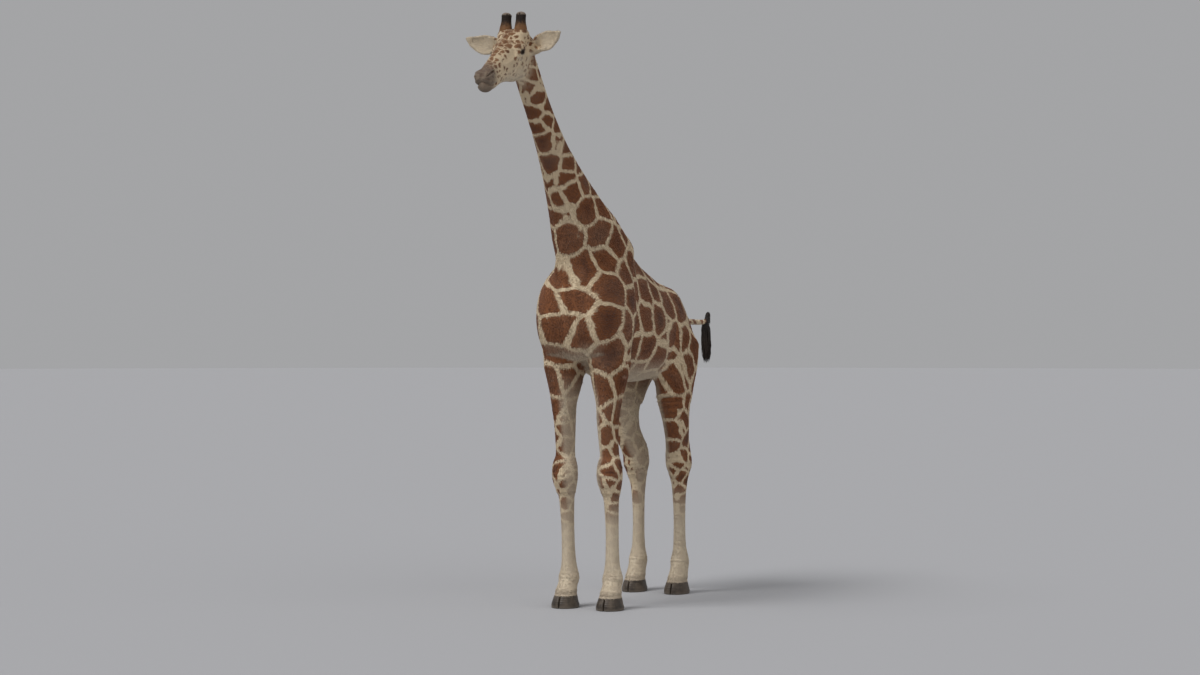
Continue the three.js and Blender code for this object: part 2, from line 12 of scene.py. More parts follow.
import bpy
import numpy as np
import openvdb as vdb
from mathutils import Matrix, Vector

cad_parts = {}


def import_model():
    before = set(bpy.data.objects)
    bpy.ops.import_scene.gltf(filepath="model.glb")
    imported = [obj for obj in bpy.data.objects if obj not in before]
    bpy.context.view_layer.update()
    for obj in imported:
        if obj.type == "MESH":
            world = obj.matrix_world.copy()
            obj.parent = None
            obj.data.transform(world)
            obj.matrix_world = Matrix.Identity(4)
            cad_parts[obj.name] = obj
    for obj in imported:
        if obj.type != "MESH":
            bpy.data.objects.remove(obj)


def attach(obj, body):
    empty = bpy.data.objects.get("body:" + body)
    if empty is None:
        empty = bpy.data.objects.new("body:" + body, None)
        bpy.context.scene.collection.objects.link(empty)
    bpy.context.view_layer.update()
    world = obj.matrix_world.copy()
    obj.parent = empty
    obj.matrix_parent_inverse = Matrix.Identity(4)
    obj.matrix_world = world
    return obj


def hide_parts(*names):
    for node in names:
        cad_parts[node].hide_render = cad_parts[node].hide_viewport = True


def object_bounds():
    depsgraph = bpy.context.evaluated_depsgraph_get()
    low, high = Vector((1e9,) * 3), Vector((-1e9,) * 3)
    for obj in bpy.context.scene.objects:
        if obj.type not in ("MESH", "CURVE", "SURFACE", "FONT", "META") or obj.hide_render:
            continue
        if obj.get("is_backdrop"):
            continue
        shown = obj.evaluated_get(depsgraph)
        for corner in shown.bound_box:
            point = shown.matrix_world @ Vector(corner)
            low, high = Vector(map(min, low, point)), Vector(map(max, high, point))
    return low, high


log = logging.getLogger("giraffe")
Array = np.ndarray
Field = Callable[[Array], Array]
Rows = Sequence[Sequence[float]]
Material = bpy.types.Material
Mesh = bpy.types.Mesh
Node = bpy.types.Node
Piece = bpy.types.Object
Socket = bpy.types.NodeSocket

MM = 0.001
FRONT_FEET_Y = -0.351  # the front hooves' middle; rows count y from there, in millimetres
FAR = 9.0  # a distance that no form reaches
SEED = 11
SIDES = ("left", "right")


# ---- places and blends ---------------------------------------------------------------------------
def spot(place: Sequence[float]) -> Array:
    """A place in the frame's metres, from millimetres with y counted from the front hooves."""
    return np.array(place, float) * MM + [0.0, FRONT_FEET_Y, 0.0]


def on_left(points: Array) -> Array:
    """The points, each moved to its mirror place on the animal's left side where it isn't there already."""
    return np.abs(points) * [1, 0, 0] + points * [0, 1, 1]


def by_height(rows: Rows, heights: Array | float) -> Array:
    """The value at each height, from rows of height and value."""
    table = np.array(rows)
    return np.interp(heights, table[:, 0], table[:, 1])


def unit(vectors: Array) -> Array:
    """The vectors at length one."""
    return vectors / (np.linalg.norm(vectors, axis=-1, keepdims=True) + 1e-12)


def melt(a: Array, b: Array, blend: float) -> Array:
    """The union of two distances, melted together over a width."""
    h = np.maximum(blend - np.abs(a - b), 0) / blend
    return np.minimum(a, b) - h * h * blend / 4


def cut(a: Array, b: Array, blend: float) -> Array:
    """Form a with form b taken out of it, the edge rounded over a width."""
    return -melt(-a, b, blend)


def ramp(values: Array, low: float, high: float) -> Array:
    """A smooth rise from 0 at low to 1 at high."""
    t = np.clip((values - low) / (high - low), 0, 1)
    return t * t * (3 - 2 * t)


def row_curve(rows: Rows, steps: int) -> Array:
    """Rows with smooth in-between rows added.

    Args:
        rows: the rows, of equal length.
        steps: how many rows stand for each of the given ones.

    Returns:
        The longer table.
    """
    r = np.array(rows, float)
    ends = np.vstack([2 * r[0] - r[1], r, 2 * r[-1] - r[-2]])
    out = []
    for k in range(1, len(ends) - 2):
        a, b, c, d = ends[k - 1 : k + 3]
        for t in np.arange(steps) / steps:
            rise = c - a + t * (2 * a - 5 * b + 4 * c - d + t * (3 * b - a - 3 * c + d))
            out.append(b + t * rise / 2)
    return np.vstack([*out, r[-1]])


# ---- forms: signed distances in metres, negative inside ------------------------------------------
@dataclass
class Tube:
    """A bent tube of egg-shaped section along rows of x, y, z, half width, half depth and egg.

    `face` is the direction that the half width is measured in, and `cap` rounds the two ends.
    """

    rows: Rows
    cap: float
    face: tuple[float, float, float] = (1, 0, 0)
    reach: float = 0.22
    steps: int = 4

    def __post_init__(self) -> None:
        """Works out the line, its frames and its box."""
        rows = row_curve([[*r, 0][:6] for r in self.rows], self.steps)
        self.line = rows[:, :3] * MM + [0, FRONT_FEET_Y, 0]
        self.size = rows[:, 3:5] * MM
        self.egg = rows[:, 5]
        self.end = self.cap * MM
        along = unit(np.gradient(self.line, axis=0))
        face = np.array(self.face, float)
        self.wide = unit(face - along * (along @ face)[:, None])
        self.deep = np.cross(self.wide, along)
        self.share = np.linspace(0, 1, len(self.line))
        margin = self.size.max() + self.reach
        self.low = self.line.min(0) - margin
        self.high = self.line.max(0) + margin

    def at(self, share: Array, table: Array) -> Array:
        """Rows of one of the tube's own tables, at shares of its run."""
        return np.stack([np.interp(share, self.share, column) for column in table.T], -1)

    def parts(self, points: Array) -> Iterator[tuple]:
        """Each short length of the tube with what it says of the points near it."""
        for i in range(len(self.line) - 1):
            span = self.line[i + 1] - self.line[i]
            length = float(np.linalg.norm(span))
            middle = (self.line[i] + self.line[i + 1]) / 2
            near = length / 2 + self.size[i : i + 2].max() + self.reach
            index = np.flatnonzero(((points - middle) ** 2).sum(1) < near * near)
            if not len(index):
                continue
            q = points[index] - self.line[i]
            h = np.clip(q @ span / length**2, 0, 1)
            q = q - h[:, None] * span
            v = (1 - h) * (q @ self.deep[i]) + h * (q @ self.deep[i + 1])
            u = (1 - h) * (q @ self.wide[i]) + h * (q @ self.wide[i + 1])
            w = q @ span / length
            size = (1 - h)[:, None] * self.size[i] + h[:, None] * self.size[i + 1]
            egg = (1 - h) * self.egg[i] + h * self.egg[i + 1]
            depth = size[:, 1]
            width = size[:, 0] * (1 - egg * np.clip(v / depth, -1, 1))
            k0 = np.sqrt((u / width) ** 2 + (v / depth) ** 2 + (w / self.end) ** 2) + 1e-9
            k1 = np.sqrt((u / width**2) ** 2 + (v / depth**2) ** 2 + (w / self.end**2) ** 2) + 1e-9
            yield index, k0 * (k0 - 1) / k1, i, h, u, v

    def __call__(self, points: Array) -> Array:
        """The distance of each point."""
        out = np.full(len(points), FAR)
        near = np.flatnonzero(((points > self.low) & (points < self.high)).all(1))
        best = np.full(len(near), FAR)
        for index, value, *_ in self.parts(points[near]):
            best[index] = np.minimum(best[index], value)
        out[near] = best
        return out

    def chart(self, points: Array) -> tuple[Array, Array, Array, Array]:
        """Where points lie round the tube.

        Args:
            points: places in the frame.

        Returns:
            The distance, the share of the tube's run, the share of a turn round it, and its direction.
        """
        best = np.full(len(points), FAR)
        share, turn = np.zeros(len(points)), np.zeros(len(points))
        along = np.tile(unit(self.line[-1] - self.line[0]), (len(points), 1))
        for index, value, i, h, u, v in self.parts(points):
            better = value < best[index]
            chosen = index[better]
            best[chosen] = value[better]
            share[chosen] = (i + h[better]) / (len(self.line) - 1)
            turn[chosen] = np.arctan2(u[better], v[better]) / math.tau % 1
            along[chosen] = unit(self.line[i + 1] - self.line[i])
        return best, share, turn, along


@dataclass
class Lump:
    """An ellipsoid in millimetres, pitched about x, yawed about z and rolled about y in degrees."""

    centre: Sequence[float]
    radii: Sequence[float]
    pitch: float = 0
    yaw: float = 0
    roll: float = 0
    reach: float = 0.22

    def __post_init__(self) -> None:
        """Works out its turn and its reach."""
        a, b, c = np.radians([self.pitch, self.yaw, self.roll])
        about_x = np.array([[1, 0, 0], [0, math.cos(a), -math.sin(a)], [0, math.sin(a), math.cos(a)]])
        about_z = np.array([[math.cos(b), -math.sin(b), 0], [math.sin(b), math.cos(b), 0], [0, 0, 1]])
        about_y = np.array([[math.cos(c), 0, math.sin(c)], [0, 1, 0], [-math.sin(c), 0, math.cos(c)]])
        self.turn = about_z @ about_x @ about_y
        self.middle = spot(self.centre)
        self.size = np.array(self.radii, float) * MM

    def local(self, points: Array, reach: float) -> tuple[Array, Array]:
        """The points near it, and their places in its own turned axes."""
        offset = points - self.middle
        near = np.flatnonzero((offset**2).sum(1) < (self.size.max() + reach) ** 2)
        return near, offset[near] @ self.turn

    def __call__(self, points: Array) -> Array:
        """The distance of each point."""
        out = np.full(len(points), FAR)
        near, q = self.local(points, self.reach)
        k0 = np.linalg.norm(q / self.size, axis=1) + 1e-9
        k1 = np.linalg.norm(q / self.size**2, axis=1) + 1e-9
        out[near] = k0 * (k0 - 1) / k1
        return out


@dataclass
class Swell(Lump):
    """A soft rise of the skin, `height` millimetres at its middle; a hollow where that is negative."""

    height: float = 5
    ripple: float = 0  # millimetres from one wrinkle to the next up the leg, or 0 for a plain rise

    def __call__(self, points: Array) -> Array:
        """What it adds to each point's distance."""
        out = np.zeros(len(points))
        near, q = self.local(points, self.size.max())
        rise = self.height * MM * np.exp(-2 * ((q / self.size) ** 2).sum(1))
        if self.ripple:
            rise *= np.cos(q[:, 2] * math.tau / (self.ripple * MM))
        out[near] = -rise
        return out


@dataclass
class Crease:
    """A groove along a line of places, in millimetres; a ridge where its depth is negative."""

    places: Rows
    width: float
    depth: float = 0

    def __post_init__(self) -> None:
        """Smooths the line."""
        steps = 4 if len(self.places) > 2 else 1
        self.line = row_curve(self.places, steps) * MM + [0, FRONT_FEET_Y, 0]

    def __call__(self, points: Array) -> Array:
        """What it adds to each point's distance."""
        out = np.zeros(len(points))
        margin = self.width * MM * 3
        inside = (points > self.line.min(0) - margin) & (points < self.line.max(0) + margin)
        near = np.flatnonzero(inside.all(1))
        q = points[near]
        best = np.full(len(near), FAR)
        for a, b in zip(self.line[:-1], self.line[1:]):
            span = b - a
            h = np.clip((q - a) @ span / (span @ span), 0, 1)
            best = np.minimum(best, ((q - a - h[:, None] * span) ** 2).sum(1))
        out[near] = self.depth * MM * np.exp(-best / (self.width * MM) ** 2)
        return out


# ---- the animal's form ---------------------------------------------------------------------------
def trunk_rows(rows: Rows) -> Rows:
    """Tube rows from rows of y, top, bottom, half width and egg."""
    return [[0, y, (top + low) / 2, w, (top - low) / 2, egg] for y, top, low, w, egg in rows]


def limb_rows(rows: Rows) -> Rows:
    """Tube rows from rows of z, x, half width and y at the front and back."""
    return [[x, (front + back) / 2, z, w, (back - front) / 2] for z, x, w, front, back in rows]


def middle_rows(rows: Rows) -> Rows:
    """Tube rows from rows that leave out x, which is 0."""
    return [[0, *row] for row in rows]


TRUNK = [
    [-200, 2800, 2140, 260, 0],
    [50, 3020, 2020, 330, 0.05],
    [350, 3100, 1950, 350, 0.1],
    [650, 3008, 1915, 365, 0.14],
    [950, 2902, 1922, 365, 0.14],
    [1200, 2826, 1965, 318, 0.08],
    [1390, 2762, 2060, 235, 0],
    [1520, 2610, 2180, 130, 0],
]
NECK = [
    [160, 2930, 290, 380, 0.25],
    [-100, 3170, 275, 345, 0.25],
    [-284, 3395, 222, 258, 0.2],
    [-495, 3652, 163, 188, 0.15],
    [-665, 3868, 131, 148, 0.12],
    [-793, 4033, 117, 131, 0.1],
    [-922, 4202, 107, 120, 0.08],
    [-1025, 4346, 102, 122, 0.05],
    [-1120, 4495, 98, 122, 0],
    [-1195, 4610, 92, 104, 0],
]
FACE = [
    [-1210, 4640, 100, 118, 0],
    [-1330, 4612, 124, 140, -0.1],
    [-1440, 4556, 116, 134, -0.12],
    [-1550, 4490, 92, 112, -0.05],
    [-1660, 4424, 76, 92, 0],
    [-1744, 4364, 79, 82, 0],
    [-1796, 4328, 77, 70, 0],
]
JAW = [
    [-1262, 4500, 74, 90, 0],
    [-1360, 4468, 80, 104, 0],
    [-1480, 4428, 70, 76, 0],
    [-1600, 4375, 54, 52, 0],
    [-1715, 4318, 54, 48, 0],
    [-1782, 4284, 56, 46, 0],
]
FORELEG = [
    [2210, 222, 150, -240, 160],
    [2100, 218, 172, -240, 200],
    [1950, 212, 148, -214, 170],
    [1770, 214, 105, -185, 115],
    [1600, 206, 87, -165, 95],
    [1430, 208, 80, -135, 90],
    [1310, 212, 82, -115, 88],
    [1220, 214, 108, -130, 95],
    [1120, 214, 112, -130, 97],
    [1020, 214, 90, -90, 98],
    [940, 214, 68, -60, 95],
    [680, 213, 58, -28, 98],
    [440, 210, 60, -25, 112],
    [340, 209, 70, -35, 130],
    [260, 210, 90, -45, 145],
    [200, 212, 83, -60, 125],
    [130, 214, 92, -96, 108],
    [70, 214, 106, -126, 118],
    [25, 214, 118, -146, 126],
    [0, 214, 116, -138, 124],
]
HINDLEG = [
    [2280, 195, 165, 1020, 1700],
    [2050, 220, 155, 1000, 1620],
    [1820, 238, 143, 985, 1500],
    [1740, 247, 131, 1005, 1455],
    [1610, 252, 112, 1065, 1430],
    [1465, 247, 99, 1120, 1455],
    [1360, 228, 98, 1180, 1495],
    [1270, 214, 108, 1225, 1535],
    [1170, 214, 113, 1255, 1550],
    [1100, 212, 95, 1290, 1530],
    [1000, 208, 72, 1330, 1520],
    [860, 206, 60, 1355, 1500],
    [660, 206, 54, 1368, 1500],
    [440, 207, 57, 1360, 1505],
    [370, 209, 66, 1350, 1515],
    [290, 210, 83, 1330, 1530],
    [220, 212, 78, 1310, 1520],
    [130, 212.5, 86, 1268, 1490],
    [70, 212.5, 101, 1232, 1500],
    [25, 212.5, 111, 1212, 1508],
    [0, 212.5, 109, 1220, 1506],
]
TAIL = [
    [0, 1560, 2520, 70, 90],
    [0, 1720, 2500, 46, 56],
    [0, 1950, 2475, 34, 38],
    [0, 2250, 2466, 28, 31],
    [0, 2420, 2468, 27, 29],
    [0, 2500, 2486, 25, 26],
    [0, 2535, 2530, 22, 22],
]
TUFT = [
    [0, 2440, 2478, 32, 50],
    [0, 2480, 2420, 40, 66],
    [0, 2494, 2340, 46, 57],
    [0, 2500, 2240, 47, 50],
    [0, 2502, 2150, 40, 43],
    [0, 2504, 2070, 18, 20],
]
EAR = [
    [120, -1240, 4640, 48, 62],
    [165, -1252, 4650, 42, 60],
    [219, -1270, 4679, 28, 74],
    [293, -1290, 4690, 20, 82],
    [368, -1315, 4712, 17, 52],
    [405, -1328, 4732, 13, 30],
    [424, -1334, 4742, 10, 14],
]
OSSICONE = [
    [68, -1330, 4735, 54, 58],
    [68, -1328, 4790, 52, 54],
    [66, -1324, 4835, 44, 46],
    [66, -1320, 4876, 40, 41],
    [66, -1317, 4905, 41, 42],
]
EAR_FACE = (0.3, -0.95, 0.1)
CORONET = 108  # where the hooves begin


@dataclass
class Body:
    """The whole animal's form: the solids' own shapes, with the skin's folds and swellings added."""

    trunk: Tube = field(default_factory=lambda: Tube(trunk_rows(TRUNK), 130))
    neck: Tube = field(default_factory=lambda: Tube(middle_rows(NECK), 120))
    face: Tube = field(default_factory=lambda: Tube(middle_rows(FACE), 46))
    jaw: Tube = field(default_factory=lambda: Tube(middle_rows(JAW), 40))
    foreleg: Tube = field(default_factory=lambda: Tube(limb_rows(FORELEG), 50, reach=0.13, steps=3))
    hindleg: Tube = field(default_factory=lambda: Tube(limb_rows(HINDLEG), 50, reach=0.13, steps=3))
    tail: Tube = field(default_factory=lambda: Tube(TAIL, 20, reach=0.13))
    ear: Tube = field(default_factory=lambda: Tube(EAR, 10, EAR_FACE, reach=0.1))
    ear_cup: Tube = field(default_factory=lambda: Tube(ear_cup_rows(), 14, EAR_FACE, reach=0.1))
    withers: Lump = field(default_factory=lambda: Lump([0, 350, 3050], [120, 320, 220], -25))
    shoulder: Lump = field(default_factory=lambda: Lump([215, -50, 2480], [200, 330, 420], 8))
    blade: Lump = field(default_factory=lambda: Lump([205, 130, 2780], [125, 240, 440], -25, 0, -10))
    breast: Lump = field(default_factory=lambda: Lump([0, -190, 2590], [255, 172, 440]))
    haunch: Lump = field(default_factory=lambda: Lump([195, 1318, 2270], [148, 300, 390], 12))
    buttock: Lump = field(default_factory=lambda: Lump([168, 1486, 2200], [120, 140, 235], 15))
    hip: Lump = field(default_factory=lambda: Lump([110, 1325, 2660], [98, 150, 100]))
    hock_point: Lump = field(default_factory=lambda: Lump([214, 1530, 1220], [45, 50, 90], -10))
    brow: Lump = field(default_factory=lambda: Lump([96, -1398, 4630], [46, 66, 46], 30))
    orbit: Lump = field(default_factory=lambda: Lump([98, -1412, 4592], [34, 58, 44], 25))
    crown: Lump = field(default_factory=lambda: Lump([0, -1320, 4700], [122, 116, 92], 10))
    horn_base: Lump = field(default_factory=lambda: Lump([74, -1328, 4738], [62, 62, 68]))
    poll: Lump = field(default_factory=lambda: Lump([42, -1196, 4688], [58, 70, 66], 20))
    nose: Lump = field(default_factory=lambda: Lump([34, -1800, 4372], [44, 56, 44], 30))
    details: Sequence[Field] = field(default_factory=lambda: [*body_details(), *head_details()])

    def __post_init__(self) -> None:
        """Lays the creases on the form's own surface."""
        for detail in [*self.details, NOSTRIL, LIPS]:
            if isinstance(detail, Crease):
                detail.line, _ = settle(self.plain, detail.line, 10)

    def head(self, q: Array) -> Array:
        """The head's distance, on the left side."""
        d = melt(self.face(q), self.jaw(q), 0.05)
        d = melt(d, melt(self.brow(q), self.orbit(q), 0.03), 0.036)
        d = melt(d, self.horn_base(q), 0.03)
        d = melt(d, self.crown(q), 0.05)
        d = melt(d, self.poll(q), 0.06)
        return melt(d, self.nose(q), 0.024)

    def plain(self, points: Array) -> Array:
        """The solids' own form."""
        q = on_left(points)
        d = melt(self.trunk(q), self.neck(q), 0.2)
        d = melt(d, self.withers(q), 0.15)
        d = melt(d, self.breast(q), 0.12)
        d = melt(d, melt(self.shoulder(q), self.blade(q), 0.12), 0.07)
        d = melt(d, melt(self.haunch(q), self.buttock(q), 0.1), 0.11)
        d = melt(d, self.hip(q), 0.13)
        d = melt(d, self.foreleg(q), 0.07)
        d = melt(d, melt(self.hindleg(q), self.hock_point(q), 0.05), 0.1)
        d = melt(d, self.tail(q), 0.05)
        return melt(d, self.head(q), 0.08)

    def __call__(self, points: Array) -> Array:
        """The skin's form: the solids' own, ears and folds included, lowered by the coat's depth."""
        q = on_left(points)
        ear = cut(self.ear(q), self.ear_cup(q), 0.008)
        d = melt(self.plain(points), ear, 0.03)
        for detail in self.details:
            d = d + detail(q)
        d = EYE_SOCKET(q, nostril(q, mouth(q, d)))
        return np.maximum(d + coat_depth(points), CORONET * MM - 0.012 - points[:, 2])


def ear_cup_rows() -> Rows:
    """Rows of the hollow in the ear's front, from the ear's own rows."""
    forward = unit(np.array(EAR_FACE))
    rows = []
    for (x, y, z, thick, high), share, depth in zip(EAR[1:5], (0.6, 0.84, 0.88, 0.66), (1, 1, 1, 0.72)):
        ahead = forward * thick * 1.3
        rows.append([x + ahead[0], y + ahead[1], z + ahead[2], thick * 1.25 * depth, high * share])
    return rows


def coat_depth(points: Array) -> Array:
    """How deep the coat is over the skin: thinnest on the head and the lower legs."""
    low = ramp(points[:, 2], 1.2, 2.1)
    high = ramp(points[:, 2], 4.1, 4.4)
    return 0.004 + 0.004 * low - 0.0045 * high


@dataclass
class EyeSocket:
    """The eyes' places, their openings between the lids, and the lids' raised rims.

    `gaze` is the way the left eye looks, and `level` runs from its back corner to its front one. The
    ball and the opening are in millimetres, the lids' rims and folds in metres.
    """

    centre: Sequence[float] = (116, -1412, 4588)
    ball: float = 27
    half_width: float = 21
    upper: float = 13.5
    lower: float = 10.5
    rim_height: float = 0.0022
    fold_depth: float = 0.003
    bag_depth: float = 0.002
    gaze: Sequence[float] = (0.925, -0.36, 0.12)
    level: Sequence[float] = (0.33, 0.82, 0.36)

    def __post_init__(self) -> None:
        """Works out the left eye's own axes."""
        out = unit(np.array(self.gaze))
        across = np.array(self.level) * [1, -1, -1]
        across = unit(across - out * (across @ out))
        self.axes = np.stack([across, np.cross(out, across) * -1, out])
        if self.axes[1, 2] < 0:
            self.axes[1] *= -1
        self.middle = spot(self.centre)

    def local(self, points: Array) -> Array:
        """Places across, up and out of the left eye, in metres."""
        return (points - self.middle) @ self.axes.T

    def lid_line(self, across: Array, height: float) -> Array:
        """How far from the eye's middle line a lid's edge stands, in metres."""
        share = np.clip(across / (self.half_width * MM), -1, 1)
        return height * MM * (1 - share**2)

    def __call__(self, points: Array, d: Array) -> Array:
        """The distance with the rims raised and the opening sunk in."""
        out = d.copy()
        near = np.flatnonzero(((points - self.middle) ** 2).sum(1) < 0.09**2)
        across, up, away = self.local(points[near]).T
        above = up - self.lid_line(across, self.upper)
        below = -up - self.lid_line(across, self.lower)
        edge = np.maximum(above, below)
        edge = np.maximum(edge, np.abs(across) - self.half_width * MM * 1.02)
        front = away > 0
        from_middle = np.sqrt(across**2 + up**2 + away**2)
        cover = from_middle - (self.ball + 4.5) * MM
        face = melt(d[near], np.where(front, cover, FAR), 0.014)
        rim = np.exp(-(((edge - 0.004) / 0.0035) ** 2)) * front
        fold = np.exp(-(((above - 0.0125) / 0.0028) ** 2)) * front * (np.abs(across) < 0.026)
        bag = np.exp(-(((below - 0.012) / 0.0032) ** 2)) * front * (np.abs(across) < 0.022)
        face = face - self.rim_height * rim + self.fold_depth * fold + self.bag_depth * bag
        hole = np.maximum(edge, -away)
        out[near] = cut(face, np.where(front, hole, FAR), 0.002)
        pit = from_middle - (self.ball - 3) * MM
        out[near] = np.minimum(out[near], np.where(d[near] < 0.02, pit, FAR))
        return out


EYE_SOCKET = EyeSocket()


@dataclass
class Slit(Crease):
    """A narrow opening along a line; its value is the distance to the opening's edge."""

    def __call__(self, points: Array) -> Array:
        """The distance of each point."""
        out = np.full(len(points), FAR)
        margin = 0.06
        inside = (points > self.line.min(0) - margin) & (points < self.line.max(0) + margin)
        near = np.flatnonzero(inside.all(1))
        best = np.full(len(near), FAR)
        for k, (a, b) in enumerate(zip(self.line[:-1], self.line[1:])):
            span = b - a
            q = points[near] - a
            h = np.clip(q @ span / (span @ span), 0, 1)
            share = (k + h) / (len(self.line) - 1)
            half = self.width * MM * (0.35 + 0.65 * np.sin(np.pi * np.clip(share * 0.9 + 0.08, 0, 1)))
            best = np.minimum(best, np.linalg.norm(q - h[:, None] * span, axis=1) - half)
        out[near] = best
        return out


NOSTRIL = Slit([[70, -1762, 4412], [68, -1785, 4398], [60, -1812, 4380], [50, -1836, 4358]], 7)
LIP_LINE = [[0, -1850, 4318], [34, -1845, 4306], [64, -1800, 4296], [76, -1730, 4312], [72, -1650, 4345]]
LIPS = Slit(LIP_LINE, 3.4)
LIPS_INWARD = (0.006, -0.009, 0)
NOSTRIL_INWARD = (0.011, -0.004, 0.002)


def mouth(q: Array, d: Array) -> Array:
    """The distance with the lips parted a little along their line."""
    gap = np.minimum(LIPS(q), LIPS(q + LIPS_INWARD))
    return cut(d, gap, 0.006)


def nostril(q: Array, d: Array) -> Array:
    """The distance with the nostril cut in and its rim raised."""
    gap = NOSTRIL(q)
    deep = NOSTRIL(q + NOSTRIL_INWARD)
    rim = 0.0045 * np.exp(-(((gap - 0.007) / 0.006) ** 2))
    return cut(d - rim, np.minimum(gap, deep), 0.003)


def body_details() -> list[Field]:
    """The folds and swellings of the trunk, neck, legs and tail, left side."""
    knee, hock = 1130, 1215
    return [
        Crease([[0, -360, 2780], [0, -372, 2620], [0, -352, 2450], [0, -300, 2300]], 34, 12),
        Crease([[0, -235, 2050], [80, -258, 2085], [160, -270, 2130], [250, -250, 2165]], 20, 11),
        Crease([[40, -190, 1985], [110, -235, 2015], [190, -262, 2060]], 13, 9),
        Crease([[34, -160, 1950], [90, -205, 1975], [160, -240, 2010]], 12, 7),
        Crease(
            [[200, 245, 3050], [300, 240, 2850], [370, 245, 2600], [385, 225, 2360], [350, 190, 2180]], 32, 11
        ),
        Crease([[150, 120, 1990], [230, 190, 2040], [320, 200, 2120]], 26, 12),
        Crease([[270, 900, 2010], [330, 950, 2110], [350, 1010, 2240], [335, 1060, 2400]], 26, 12),
        Crease([[315, 1440, 2520], [335, 1430, 2300], [325, 1400, 2080]], 34, 7),
        Crease([[0, 1650, 2400], [0, 1640, 2250], [0, 1580, 2100], [0, 1500, 2000]], 26, 16),
        Crease([[230, -40, 2860], [300, -60, 2640], [345, -70, 2460]], 34, 7),
        Crease([[330, 110, 2640], [365, 60, 2480], [345, -60, 2330]], 30, 7),
        Swell([250, 190, 2880], [60, 70, 330], -25, 0, -10, height=8),
        Swell([330, -110, 2420], [110, 150, 150], height=8),
        Swell([290, 40, 2210], [110, 130, 130], height=5),
        Swell([275, 1180, 2330], [110, 170, 200], 12, height=8),
        Swell([150, 1180, 2760], [80, 90, 70], height=10),
        Swell([330, 620, 2350], [90, 260, 260], height=5),
        Crease([[95, -400, 3300], [85, -560, 3560], [70, -720, 3800], [62, -860, 4020]], 30, 6),
        Crease([[150, -80, 3330], [120, -300, 3600], [92, -500, 3850]], 34, -5),
        Swell([214, -118, knee], [70, 50, 110], height=7),
        Swell([214, -120, knee + 20], [90, 70, 80], ripple=40, height=1.3),
        Swell([214, 0, knee + 145], [110, 150, 22], height=5),
        Swell([214, 0, knee - 130], [95, 140, 22], height=5),
        Swell([214, 92, knee - 10], [40, 40, 60], height=7),
        Crease([[262, 52, 960], [258, 55, 700], [256, 60, 470]], 13, 5),
        Crease([[166, 52, 960], [168, 55, 700], [166, 60, 470]], 13, 5),
        Swell([214, -60, 300], [110, 60, 60], ripple=34, height=1.5),
        Swell([214, 110, 250], [90, 60, 60], ripple=40, height=1.6),
        Swell([214, -20, 150], [150, 180, 26], height=6),
        Crease([[213, -60, 230], [214, -104, 150], [214, -142, 70]], 9, 14),
        Crease([[213, 150, 250], [214, 132, 150], [214, 130, 80]], 9, 12),
        Crease([[266, 1420, 1560], [272, 1455, 1430], [262, 1490, 1330]], 20, 11),
        Crease([[205, 1425, 1560], [190, 1455, 1430], [172, 1490, 1330]], 20, 11),
        Swell([214, 1275, hock], [90, 60, 90], ripple=42, height=1.5),
        Swell([300, 1400, hock - 20], [36, 60, 70], height=6),
        Swell([214, 1390, hock + 140], [110, 160, 24], height=4),
        Swell([214, 1420, hock - 150], [95, 140, 24], height=4),
        Crease([[256, 1455, 1040], [252, 1465, 800], [252, 1465, 480]], 13, 5),
        Crease([[160, 1455, 1040], [162, 1465, 800], [162, 1465, 480]], 13, 5),
        Swell([212, 1320, 300], [110, 60, 60], ripple=34, height=1.5),
        Swell([212, 1510, 270], [90, 60, 60], ripple=40, height=1.6),
        Swell([212, 1370, 150], [150, 180, 26], height=6),
        Crease([[211, 1305, 230], [212, 1262, 150], [212, 1218, 70]], 9, 14),
        Crease([[211, 1535, 250], [212, 1508, 150], [212, 1508, 80]], 9, 12),
    ]


def head_details() -> list[Field]:
    """The folds and swellings of the head, left side."""
    return [
        Crease([[118, -1450, 4560], [106, -1510, 4520], [92, -1580, 4478]], 13, -4.5),
        Crease([[118, -1475, 4600], [100, -1540, 4555], [84, -1620, 4500]], 18, 4),
        Swell([100, -1345, 4470], [50, 75, 75], height=7),
        Crease([[98, -1420, 4520], [92, -1440, 4470], [78, -1450, 4410]], 15, 5),
        Swell([112, -1325, 4640], [30, 38, 34], height=-7),
        Crease([[108, -1462, 4632], [122, -1415, 4650], [122, -1360, 4648]], 10, -4.5),
        Crease([[112, -1470, 4560], [124, -1420, 4540], [122, -1370, 4542]], 12, -2.5),
        Crease([[0, -1420, 4700], [0, -1540, 4620], [0, -1660, 4535]], 26, -5),
        Crease([[34, -1500, 4650], [34, -1600, 4575], [32, -1700, 4490]], 15, 3),
        Crease([[95, -1225, 4400], [118, -1225, 4480], [122, -1215, 4570]], 15, 8),
        Crease([[60, -1235, 4380], [0, -1240, 4360]], 14, 5),
        Swell([0, -1440, 4700], [40, 60, 40], height=6),
        Crease(LIP_LINE, 15, 7),
        Crease([[20, -1862, 4338], [58, -1835, 4325], [80, -1780, 4318], [86, -1720, 4335]], 10, -4),
        Crease([[0, -1875, 4372], [0, -1868, 4330]], 7, 4),
        Crease([[60, -1700, 4260], [64, -1640, 4290], [60, -1560, 4330]], 16, -3),
        Swell([0, -1800, 4262], [45, 40, 26], height=5),
    ]


